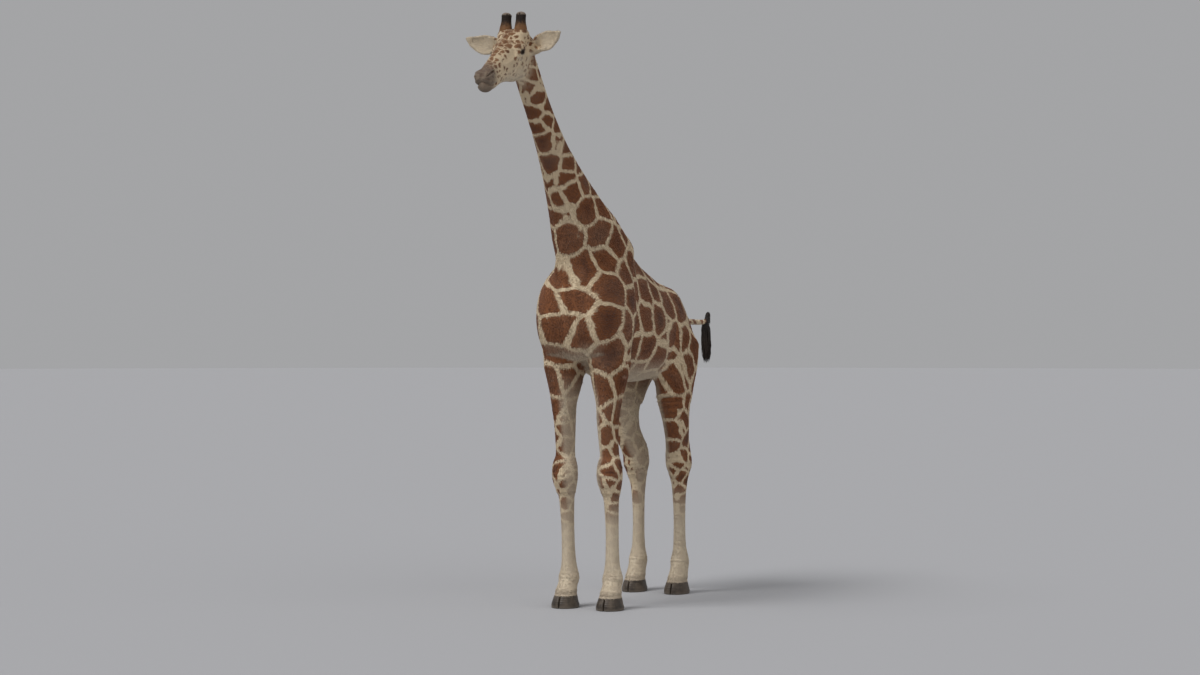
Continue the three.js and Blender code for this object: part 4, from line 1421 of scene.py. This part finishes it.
@dataclass
class Hooves:
    """The eight toes, each a horn wall with a flat sole and a rounded cleft."""

    body: Body
    cleft: float = 0.0035  # half its width
    stance: float = 1.36  # from the front hooves' middle to the hind hooves'
    x: float = LEG_X

    def form(self, leg: Tube) -> Field:
        """One foot's form, left side."""

        def distance(p: Array) -> Array:
            """Its distance, with growth rings round the wall, the cleft and the flat sole cut in."""
            grooves = 0.0007 * np.cos(p[:, 2] * math.tau / 0.017) * ramp(p[:, 2], 0.01, 0.03)
            d = np.maximum(leg(p) + grooves + 0.0015, p[:, 2] - CORONET * MM + 0.0017)
            d = cut(d, np.abs(p[:, 0] - self.x) - self.cleft, 0.016)
            return cut(d, p[:, 2], 0.006)

        return distance

    def build(self, material: Material) -> None:
        """Makes the front and the hind hooves."""
        rows = (
            ("fore", self.body.foreleg, FRONT_FEET_Y),
            ("hind", self.body.hindleg, FRONT_FEET_Y + self.stance),
        )
        for name, leg, y in rows:
            lattice = Lattice(-0.011, 0.125, [[0, 0.0055]], [[0, y]], (26, 34), self.x)
            surface = Surface.of(self.form(leg), lattice, relax=3)
            obj = mesh_object(f"{name}_hooves", *both_sides(surface.points, surface.triangles), material)
            toes = [f"{name}_{s}_hoof_{toe}" for s in SIDES for toe in ("outer", "inner")]
            settled_piece(obj, toes)


@dataclass
class Ossicones:
    """The two blunt, hair-covered horns."""

    tube: Tube = field(default_factory=lambda: Tube(OSSICONE, 27, reach=0.1))
    tufts: int = 4200

    def form(self, p: Array) -> Array:
        """The left one's distance, with a knobbly top."""
        knobs = 0.0012 * np.sin(p[:, 0] * 190) * np.sin(p[:, 1] * 170 + 1) * ramp(p[:, 2], 4.84, 4.9)
        return np.maximum(self.tube(p) + 0.0025 + knobs, 4.7 - p[:, 2])

    def build(self, material: Material) -> None:
        """Makes the pair."""
        lattice = Lattice(4.67, 4.95, [[0, 0.0055]], [[0, FRONT_FEET_Y - 1.325]], (14, 14), 0.067)
        surface = Surface.of(self.form, lattice)
        obj = mesh_object("ossicones", *both_sides(surface.points, surface.triangles), material)
        settled_piece(obj, ["ossicone_left", "ossicone_right"])
        self.cover(surface, material)

    def cover(self, surface: Surface, material: Material) -> None:
        """Plants the short hair up the sides, longer in a ring below the bald tops."""
        rng = np.random.default_rng(SEED + 5)
        which = rng.integers(0, len(surface.triangles), self.tufts)
        weights = rng.dirichlet([1, 1, 1], self.tufts)
        corners = surface.triangles[which]
        roots = (surface.points[corners] * weights[:, :, None]).sum(1)
        out = unit((surface.normals[corners] * weights[:, :, None]).sum(1))
        keep = (roots[:, 2] > 4.72) & (roots[:, 2] < 4.899) & (out[:, 2] < 0.7)
        roots, out = roots[keep], out[keep]
        ring = ramp(roots[:, 2], 4.84, 4.885) * ramp(-roots[:, 2], -4.9, -4.888)
        way = np.array([0.0, 0.0, 1.0]) + out * ring[:, None] * 0.25 + rng.normal(0, 0.16, roots.shape)
        way = unit(way - out * (way * out).sum(1, keepdims=True) * 0.8)
        length = (0.012 + 0.007 * ring) * rng.uniform(0.7, 1.2, len(roots))
        size = np.stack([length * 0.1, length * 0.16, length], 1)
        _, share, turn, _ = self.tube.chart(roots)
        mirror = np.array([-1, 1, 1])
        roots, way, out = (np.vstack([rows, rows * mirror]) for rows in (roots, way, out))
        place = np.vstack([np.stack([share / 2, turn], 1), np.stack([share / 2 + 0.5, turn], 1)])
        planting = Planting("ossicone_hair", blade(0.2), material)
        obj = planting.grow(roots, way, out, np.vstack([size, size]), EDGE + SPAN * place)
        settled_piece(obj)


@dataclass
class Eyes:
    """The eyeballs, with a low rise over the iris."""

    rings: int = 40
    sides: int = 56

    def build(self, material: Material) -> None:
        """Makes both eyes."""
        lean = np.linspace(0, math.pi, self.rings + 1)[1:-1]
        turn = np.arange(self.sides) / self.sides * math.tau
        across = np.outer(np.sin(lean), np.cos(turn)).ravel()
        up = np.outer(np.sin(lean), np.sin(turn)).ravel()
        away = np.repeat(np.cos(lean), self.sides)
        local = np.vstack([[0, 0, 1], np.stack([across, up, away], 1), [0, 0, -1]])
        radius = 0.0252 + 0.0014 * np.exp(-((np.arccos(np.clip(local[:, 2], -1, 1)) / 0.6) ** 2))
        k = np.arange(self.sides)
        after = (k + 1) % self.sides
        faces = [np.stack([k * 0, 1 + k, 1 + after], 1)]
        for r in range(self.rings - 2):
            low, high = 1 + r * self.sides, 1 + (r + 1) * self.sides
            faces.append(np.stack([low + k, high + k, low + after], 1))
            faces.append(np.stack([low + after, high + k, high + after], 1))
        last = 1 + (self.rings - 2) * self.sides
        faces.append(np.stack([last + after, last + k, k * 0 + len(local) - 1], 1))
        triangles = np.vstack(faces)
        place = EYE_SOCKET.middle + (local * radius[:, None]) @ EYE_SOCKET.axes
        handed = float(np.sign(np.linalg.det(EYE_SOCKET.axes)))
        for name, side in (("left", 1), ("right", -1)):
            own = triangles if side * handed > 0 else triangles[:, ::-1]
            obj = mesh_object(f"eye_{name}_ball", place * [side, 1, 1], own, material)
            carry(obj.data, gaze=local)
            settled_piece(obj, [f"eye_{name}"])


# ---- hair ----------------------------------------------------------------------------------------
def blade(bend: float) -> tuple[Array, Array]:
    """A thin closed tuft one unit long, along z, that rises along x and then lies back down."""
    points = [[-0.35, 0, 0], [0.35, -0.5, 0.36], [0.35, 0.5, 0.36], [1.0, 0, 0.42], [bend, 0, 1]]
    faces = [[0, 2, 1], [0, 1, 3], [0, 3, 2], [4, 1, 2], [4, 3, 1], [4, 2, 3]]
    return np.array(points, float), np.array(faces)


def lock() -> tuple[Array, Array]:
    """A closed lock of upright hair one unit long, along z, leaning over along x."""
    path = np.array([[[0, 0, -0.05], [0, 0, 0.2], [0.06, 0, 0.6], [0.2, 0, 1]]], float)
    points, faces, _ = strands(path, np.array([[0, 0.5, 0.36, 0]]), 3)
    return points, faces


@dataclass
class Planting:
    """Tufts set on roots by a node tree and made into one plain mesh."""

    name: str
    shape: tuple[Array, Array]
    material: Material

    def tree(self, model: Piece) -> bpy.types.NodeTree:
        """The tree that sets one copy of the model on each root, turned along its hair."""
        tree = bpy.data.node_groups.new(f"{self.name}_planting", "GeometryNodeTree")
        for way in ("INPUT", "OUTPUT"):
            tree.interface.new_socket("Geometry", in_out=way, socket_type="NodeSocketGeometry")
        start = tree.nodes.new("NodeGroupInput")
        end = tree.nodes.new("NodeGroupOutput")
        turn = tree.nodes.new("FunctionNodeAxesToRotation")
        turn.primary_axis, turn.secondary_axis = "Z", "X"
        plant = tree.nodes.new("GeometryNodeInstanceOnPoints")
        shape = tree.nodes.new("GeometryNodeObjectInfo")
        shape.inputs["Object"].default_value = model
        real = tree.nodes.new("GeometryNodeRealizeInstances")
        paint = tree.nodes.new("GeometryNodeSetMaterial")
        paint.inputs["Material"].default_value = self.material
        carried = (("lie", turn.inputs[0]), ("out", turn.inputs[1]), ("size", plant.inputs["Scale"]))
        for name, socket in carried:
            value = tree.nodes.new("GeometryNodeInputNamedAttribute")
            value.data_type = "FLOAT_VECTOR"
            value.inputs["Name"].default_value = name
            tree.links.new(value.outputs["Attribute"], socket)
        joins = [
            (start.outputs[0], plant.inputs["Points"]),
            (shape.outputs["Geometry"], plant.inputs["Instance"]),
            (turn.outputs["Rotation"], plant.inputs["Rotation"]),
            (plant.outputs["Instances"], real.inputs["Geometry"]),
            (real.outputs["Geometry"], paint.inputs["Geometry"]),
            (paint.outputs["Geometry"], end.inputs[0]),
        ]
        for source, target in joins:
            tree.links.new(source, target)
        return tree

    def grow(
        self, roots: Array, lie: Array, out: Array, size: Array, places: Array, **values: Array
    ) -> Piece:
        """Makes the piece.

        Args:
            roots: where the tufts stand.
            lie: the way that each one runs.
            out: the way that each one rises.
            size: each one's thickness, width and length.
            places: each root's place on the skin's unwrap.
            values: what else each tuft carries for the material.

        Returns:
            The object, with its OFBake map.
        """
        model = mesh_object(f"{self.name}_model", *self.shape, self.material)
        mesh = bpy.data.meshes.new(f"{self.name}_roots")
        mesh.vertices.add(len(roots))
        mesh.vertices.foreach_set("co", roots.astype(np.float32).ravel())
        carry(mesh, lie=lie, out=out, size=size, **values)
        holder = bpy.data.objects.new(f"{self.name}_roots", mesh)
        bpy.context.scene.collection.objects.link(holder)
        modifier = holder.modifiers.new("planting", "NODES")
        modifier.node_group = self.tree(model)
        graph = bpy.context.evaluated_depsgraph_get()
        made = bpy.data.meshes.new_from_object(holder.evaluated_get(graph))
        made.name = self.name
        for spare in ("lie", "out", "size"):
            if spare in made.attributes:
                made.attributes.remove(made.attributes[spare])
        made.shade_smooth()
        tree = modifier.node_group
        bpy.data.objects.remove(holder)
        bpy.data.objects.remove(model)
        bpy.data.node_groups.remove(tree)
        self.bake_map(made, places)
        obj = bpy.data.objects.new(self.name, made)
        bpy.context.scene.collection.objects.link(obj)
        return obj

    def bake_map(self, mesh: Mesh, places: Array) -> None:
        """Lays each tuft out as a small patch at its root's place on the unwrap."""
        shape = self.shape[0]
        local = np.stack([shape[:, 2] - 0.5, shape[:, 1]], 1) * TUFT_ON_MAP
        each = places[:, None] + local[None]
        lay_out(mesh, each.reshape(-1, 2))


# rows of height and of the coat's length there, in metres
COAT_LENGTHS = [
    [0.1, 0.016], [0.9, 0.021], [1.9, 0.027], [2.3, 0.028], [3.3, 0.024], [4.2, 0.018], [4.5, 0.0155],
]


@dataclass
class Coat:
    """The short coat over the whole skin."""

    skin: Skin
    lie: Lie
    material: Material
    cover: float = 6.6  # tufts to a square as long each way as a tuft
    head_cover: float = 10.5
    shoulder_y: float = 0.05  # where the coat's pieces meet
    loin_y: float = 0.62
    neck_z: float = 3.7
    muzzle_y: float = -1.86

    @staticmethod
    def length(points: Array) -> Array:
        """A tuft's length by place, in metres."""
        x, y, z = points.T
        length = by_height(COAT_LENGTHS, z)
        face = ramp(-y, 1.55, 1.75) * (z > 4.2)
        snout = ramp(-y, 1.8, 2.15) * (z > 4.2)
        length = length * (1 - 0.12 * face - 0.25 * snout)
        ear = 0.0175 * (1 - 0.5 * ramp(np.abs(x), 0.38, 0.42))
        return np.where((z > 4.4) & (np.abs(x) > 0.2), ear, length)

    def roots(self) -> tuple[Array, Array]:
        """Places and directions over the skin, closer together where the coat is shorter."""
        rng = np.random.default_rng(SEED)
        surface = self.skin.surface
        a, b, c = (surface.points[surface.triangles[:, k]] for k in range(3))
        area = np.linalg.norm(np.cross(b - a, c - a), axis=1) / 2
        middle = (a + b + c) / 3
        cover = self.cover + (self.head_cover - self.cover) * ramp(middle[:, 2], 4.25, 4.4)
        total = np.cumsum(area * cover / self.length(middle) ** 2)
        count = int(total[-1])
        which = np.searchsorted(total, (np.arange(count) + rng.random(count)) / count * total[-1])
        which = np.minimum(which, len(area) - 1)
        u, v = rng.random((2, count))
        flip = u + v > 1
        u, v = np.where(flip, 1 - u, u), np.where(flip, 1 - v, v)
        weights = np.stack([1 - u - v, u, v], 1)
        corners = surface.triangles[which]
        points = (surface.points[corners] * weights[:, :, None]).sum(1)
        normals = unit((surface.normals[corners] * weights[:, :, None]).sum(1))
        keep = (points[:, 2] > 0.1) & ~self.bare(points)
        return points[keep], normals[keep]

    @staticmethod
    def bare(points: Array) -> Array:
        """Where nothing grows: inside the lids, the nostrils and the mouth."""
        q = on_left(points)
        across, up, away = EYE_SOCKET.local(q).T
        socket = (np.hypot(across / 0.025, (up - 0.001) / 0.0172) < 1) & (np.abs(away) < 0.04)
        return socket | (NOSTRIL(q) < 0.002) | (LIPS(q) < 0.004)

    def piece_names(self, points: Array, zone: Array) -> Array:
        """The name of the piece that each tuft belongs to."""
        x, y, z = points.T
        rows = [
            ("coat_shoulders", (zone == Zone.TRUNK.value) & (y < self.shoulder_y)),
            ("coat_barrel", (zone == Zone.TRUNK.value) & (y >= self.shoulder_y) & (y < self.loin_y)),
            ("coat_hindquarters", (zone == Zone.TRUNK.value) & (y >= self.loin_y)),
            ("coat_neck_lower", (zone == Zone.NECK.value) & (z < self.neck_z)),
            ("coat_neck_upper", (zone == Zone.NECK.value) & (z >= self.neck_z)),
            ("coat_skull", (zone == Zone.FACE.value) & (y > self.muzzle_y)),
            ("coat_muzzle", (zone == Zone.FACE.value) & (y <= self.muzzle_y)),
            ("coat_foreleg_left", (zone == Zone.FORELEG.value) & (x > 0)),
            ("coat_foreleg_right", (zone == Zone.FORELEG.value) & (x <= 0)),
            ("coat_hindleg_left", (zone == Zone.HINDLEG.value) & (x > 0)),
            ("coat_hindleg_right", (zone == Zone.HINDLEG.value) & (x <= 0)),
            ("coat_tail", zone == Zone.TAIL.value),
            ("coat_ears", zone == Zone.EAR.value),
        ]
        names = np.full(len(points), "", dtype=object)
        for name, where in rows:
            names[where] = name
        return names

    def build(self) -> None:
        """Makes the coat's pieces."""
        points, normals = self.roots()
        lie, zone, places = self.lie.read(points, normals)
        rng = np.random.default_rng(SEED + 1)
        count = len(points)
        side = np.cross(normals, lie)
        lie = unit(lie + side * rng.normal(0, 0.14, count)[:, None])
        length = self.length(points) * rng.uniform(0.8, 1.25, count)
        clear = ~self.bare(points + lie * length[:, None] * 0.7)
        points, normals, lie, length = points[clear], normals[clear], lie[clear], length[clear]
        zone, places = zone[clear], places[clear]
        count = len(points)
        head = ramp(points[:, 2], 4.2, 4.4)
        rise = np.minimum(coat_depth(points) * 0.5, length * (0.13 - 0.05 * head))
        rise = rise * rng.uniform(0.7, 1.3, count)
        width = length * rng.uniform(0.13, 0.22, count) * (1 - 0.3 * head)
        size = np.stack([rise, width, length], 1)
        mark = marking_places(points)
        tone = tones(points, normals)
        face = faceness(points)
        # the painted shade in the nostrils, mouth and eye openings, and the lids' own dark rims, as on the
        # skin
        shade = lid_rims_and_painted_shade(points)
        names = self.piece_names(points, zone)
        for name in sorted(set(names)):
            own = names == name
            obj = Planting(name, blade(0.25), self.material).grow(
                points[own], lie[own], normals[own], size[own], places[own],
                mark=mark[own], tone=tone[own], face=face[own], shade=shade[own],
            )
            log.info("%s: %d triangles", name, len(obj.data.polygons))
            settled_piece(obj)


@dataclass
class Mane:
    """The short upright mane from the withers to the poll."""

    body: Body
    material: Material
    count: int = 7600
    half_width: float = 0.019
    height: float = 0.07

    def build(self) -> None:
        """Makes the mane as one piece."""
        rng = np.random.default_rng(SEED + 2)
        neck = self.body.neck
        back = neck.line - neck.deep * neck.size[:, 1:2]
        places = MM * np.array([[0, -1130, 4700], [0, -1168, 4752], [0, -1205, 4790]]) + [0, FRONT_FEET_Y, 0]
        path = np.vstack([back[3:-1], places])
        run = np.concatenate([[0], np.cumsum(np.linalg.norm(np.diff(path, axis=0), axis=1))])
        at = np.sort(rng.random(self.count)) * run[-1]
        roots = np.stack([np.interp(at, run, path[:, k]) for k in range(3)], 1)
        roots[:, 0] = rng.normal(0, 0.5, self.count).clip(-1, 1) * self.half_width
        roots, normals = settle(self.body, roots, 6)
        share = at / run[-1]
        along = np.stack([np.interp(at, run, np.gradient(path[:, k], run)) for k in range(3)], 1)
        length = self.height * (0.34 + 0.66 * ramp(share, 0, 0.28)) * rng.uniform(0.72, 1.0, self.count)
        length *= 1 - 0.2 * np.abs(roots[:, 0]) / self.half_width
        way = normals * [0.55, 1, 1] - 0.22 * unit(along) + rng.normal(0, 0.09, (self.count, 3))
        size = np.stack([length * 0.16, length * 0.16, length], 1)
        size[:, :2] = np.maximum(size[:, :2], 0.006)
        places = np.stack([EDGE + SPAN * share, 0.5 + roots[:, 0] * 20], 1)
        planting = Planting("mane", lock(), self.material)
        obj = planting.grow(roots - normals * 0.003, unit(way), -unit(along), size, places)
        shape, _ = lock()
        carry(obj.data, run=np.tile(np.clip(shape[:, 2], 0, 1), self.count))
        names = [f"mane_{part}" for part in ("base", "lower", "middle", "upper", "poll")]
        settled_piece(obj, names)


@dataclass
class TailTuft:
    """The long black hair that hangs from the end of the tail."""

    body: Body
    material: Material
    count: int = 420
    sleeve_count: int = 620
    steps: int = 10
    furthest: float = 2.196  # where the last hair ends, within the solids' reach

    def build(self) -> None:
        """Makes the tuft as one piece."""
        rng = np.random.default_rng(SEED + 3)
        tuft = Tube(TUFT, 40)
        angle = rng.random(self.count) * math.tau
        reach = 0.84 * np.sqrt(rng.uniform(0.12, 1, self.count))
        start = rng.uniform(-0.04, 0.1, self.count)
        end = rng.uniform(0.62, 1.0, self.count)
        steps = np.linspace(0, 1, self.steps)
        at = start[:, None] + (end - start)[:, None] * steps
        line, size = tuft.at(at, tuft.line), tuft.at(at, tuft.size)
        wide = size[..., 0] * (reach * np.cos(angle))[:, None]
        deep = size[..., 1] * (reach * np.sin(angle))[:, None]
        sway = rng.uniform(0, math.tau, (self.count, 1))
        wave = 0.008 * np.sin(at * 9 + sway) * steps
        gather = 0.55 + 0.45 * ramp(at, 0.0, 0.25)
        paths = line + tuft.at(at, tuft.deep) * (deep * gather + wave)[..., None]
        paths[..., 0] += wide * gather + wave
        width = rng.uniform(0.0032, 0.0055, (self.count, 1)) * (1.05 - 0.75 * steps**2)
        points, triangles, run = strands(paths, width, 4)
        sleeve = self.sleeve(rng)
        both = np.vstack([points, sleeve[0]])
        faces = np.vstack([triangles, sleeve[1] + len(points)])
        obj = mesh_object("tail_hair", both, faces, self.material)
        carry(obj.data, run=np.concatenate([run, sleeve[2]]))
        place = 0.02 + 0.46 * np.stack([angle / math.tau, reach], 1)
        lay_out(obj.data, np.vstack([strand_places(place, run, 4), sleeve[3]]))
        settled_piece(obj, ["tail_tuft"])

    def sleeve(self, rng: np.random.Generator) -> tuple[Array, Array, Array, Array]:
        """The hair along the tail's last length, lying back along it and turning down.

        Args:
            rng: the source of its unevenness.

        Returns:
            The points, the triangles, each point's share of its hair, and its place on the bake map.
        """
        tail = self.body.tail
        count = self.sleeve_count
        at = rng.uniform(0.72, 1.0, count)
        angle = rng.random(count) * math.tau
        across = tail.at(at, tail.deep)
        along = np.cross(across, [1, 0, 0])
        along = unit(along * np.sign(along[:, 1:2]))
        size = tail.at(at, tail.size)[:, 0] - 0.008
        out = across * np.sin(angle)[:, None] + np.cos(angle)[:, None] * [1, 0, 0]
        root = tail.at(at, tail.line) + out * size[:, None]
        length = rng.uniform(0.05, 0.11, count) * (1 - 0.45 * ramp(at, 0.85, 1))
        room = (self.furthest - root[:, 1]) / np.maximum(along[:, 1] + 0.2 * out[:, 1], 0.12)
        length = np.clip(np.minimum(length, room), 0.012, None)
        steps = np.linspace(0, 1, 6)
        paths = root[:, None] + along[:, None] * (length[:, None] * steps)[..., None]
        paths += out[:, None] * (0.007 * np.sin(steps * 2.2))[None, :, None]
        paths[..., 2] -= 0.35 * length[:, None] * steps**2
        width = rng.uniform(0.003, 0.005, (count, 1)) * (1.05 - 0.7 * steps**2)
        points, triangles, run = strands(paths, width, 3)
        place = 0.02 + 0.46 * np.stack([angle / math.tau + 1.05, at], 1)
        return points, triangles, run, strand_places(place, run, 3)


@dataclass
class Lashes:
    """The long lashes of the upper lids, and the short ones of the lower."""

    material: Material

    def build(self) -> None:
        """Makes both eyes' lashes as one piece."""
        rng = np.random.default_rng(SEED + 4)
        groups = [self.row(rng, 46, 0.019, 1), self.row(rng, 26, 0.009, -1)]
        paths = np.concatenate(groups)
        width = np.tile(0.00055 * (1.1 - np.linspace(0, 1, 6)), (len(paths), 1))
        points, triangles, run = strands(paths, width, 3)
        points, triangles = both_sides(points, triangles)
        obj = mesh_object("eyelashes", points, triangles, self.material)
        carry(obj.data, run=np.tile(run, 2))
        order = np.linspace(0.02, 0.45, len(paths))
        place = strand_places(np.stack([order, order * 0 + 0.5], 1), run, 3)
        lay_out(obj.data, np.vstack([place, place + [0.5, 0]]))
        settled_piece(obj)

    @staticmethod
    def row(rng: np.random.Generator, count: int, length: float, sense: int) -> Array:
        """One lid's lashes as lines of places."""
        socket = EYE_SOCKET
        across = np.linspace(-0.92, 0.92, count) * socket.half_width * MM + rng.normal(0, 3e-4, count)
        height = socket.upper if sense > 0 else socket.lower
        up = sense * (socket.lid_line(across, height) + 0.0015)
        ball = (socket.ball + 3.5) * MM
        away = np.sqrt(np.maximum(ball**2 - across**2 - up**2, 1e-6))
        roots = np.stack([across, up, away], 1)
        fan = np.stack([across * 22, np.full(count, 0.25 * sense), np.full(count, 1.0)], 1)
        way = unit(fan + rng.normal(0, 0.07, (count, 3)))
        steps = np.linspace(0, 1, 6)
        reach = length * rng.uniform(0.75, 1, count)
        local = roots[:, None] + way[:, None] * (reach[:, None] * steps)[..., None]
        droop = -0.35 if sense > 0 else -0.2
        local[..., 1] += droop * reach[:, None] * steps**2
        return socket.middle + local @ socket.axes


# ---- the studio ----------------------------------------------------------------------------------
@dataclass(frozen=True)
class Studio:
    """A wide pale floor, an even sky, two soft suns and the camera.

    `suns` gives each one's name, strength, width in degrees and turn.
    """

    floor_radius: float = 150.0
    floor_corners: int = 96
    sky: tuple = (0.37, 0.372, 0.38, 1)
    suns: tuple = (("key", 1.75, 28, (38, 0, -28)), ("fill", 0.5, 60, (58, 0, 75)))
    camera_place: tuple = (8.473, -17.045, 2.32)
    camera_yaw: float = 26.6
    lens: float = 65.6

    def build(self) -> None:
        """Makes the floor, the light and the camera."""
        scene = bpy.context.scene
        k = np.arange(self.floor_corners)
        turns = k / self.floor_corners * math.tau
        rim = np.stack([np.cos(turns), np.sin(turns), turns * 0], 1) * self.floor_radius
        points = np.vstack([[0, 0, 0], rim])
        fan = np.stack([k * 0, k + 1, (k + 1) % self.floor_corners + 1], 1)
        floor = mesh_object("studio_floor", points, fan, floor_material())
        floor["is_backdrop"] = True
        world = bpy.data.worlds.new("studio")
        world.use_nodes = True
        world.node_tree.nodes["Background"].inputs[0].default_value = self.sky
        scene.world = world
        for name, energy, angle, turn in self.suns:
            light = bpy.data.lights.new(name, "SUN")
            light.energy = energy
            light.angle = math.radians(angle)
            sun = bpy.data.objects.new(name, light)
            sun.rotation_euler = [math.radians(a) for a in turn]
            sun.visible_glossy = name == "key"
            scene.collection.objects.link(sun)
        camera = bpy.data.objects.new("camera", bpy.data.cameras.new("camera"))
        camera.data.lens = self.lens
        camera.data.sensor_width = 36
        camera.data.clip_end = 400
        camera.location = self.camera_place
        camera.rotation_euler = (math.radians(90), 0, math.radians(self.camera_yaw))
        scene.collection.objects.link(camera)
        scene.camera = camera
        scene.view_settings.view_transform = "Standard"


def corners(box: Sequence) -> list[list[float]]:
    """A box's corners as plain lists."""
    return [[float(v) for v in corner] for corner in box]


def build() -> None:
    """Makes the whole scene around the loaded frame."""
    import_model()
    before = corners(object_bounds())
    Studio().build()
    body = Body()
    coat = coat_material(Palette())
    skin = Skin(body)
    skin.build(coat)
    log.info("skin made")
    Hooves(body).build(horn_material())
    Ossicones().build(ossicone_material())
    Eyes().build(eye_material())
    dark = hair_material("giraffe_tail_hair", (0.016, 0.012, 0.01, 1), (0.035, 0.022, 0.015, 1), 0.45)
    brown = hair_material("giraffe_mane_hair", (0.13, 0.052, 0.022, 1), (0.24, 0.105, 0.045, 1), 0.55)
    Mane(body, brown).build()
    TailTuft(body, dark).build()
    Lashes(dark).build()
    log.info("hair made")
    Coat(skin, Lie(body), coat).build()
    {"cad": before, "visual": corners(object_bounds())}


if __name__ == "__main__":
    logging.basicConfig(level=logging.INFO)
    build()
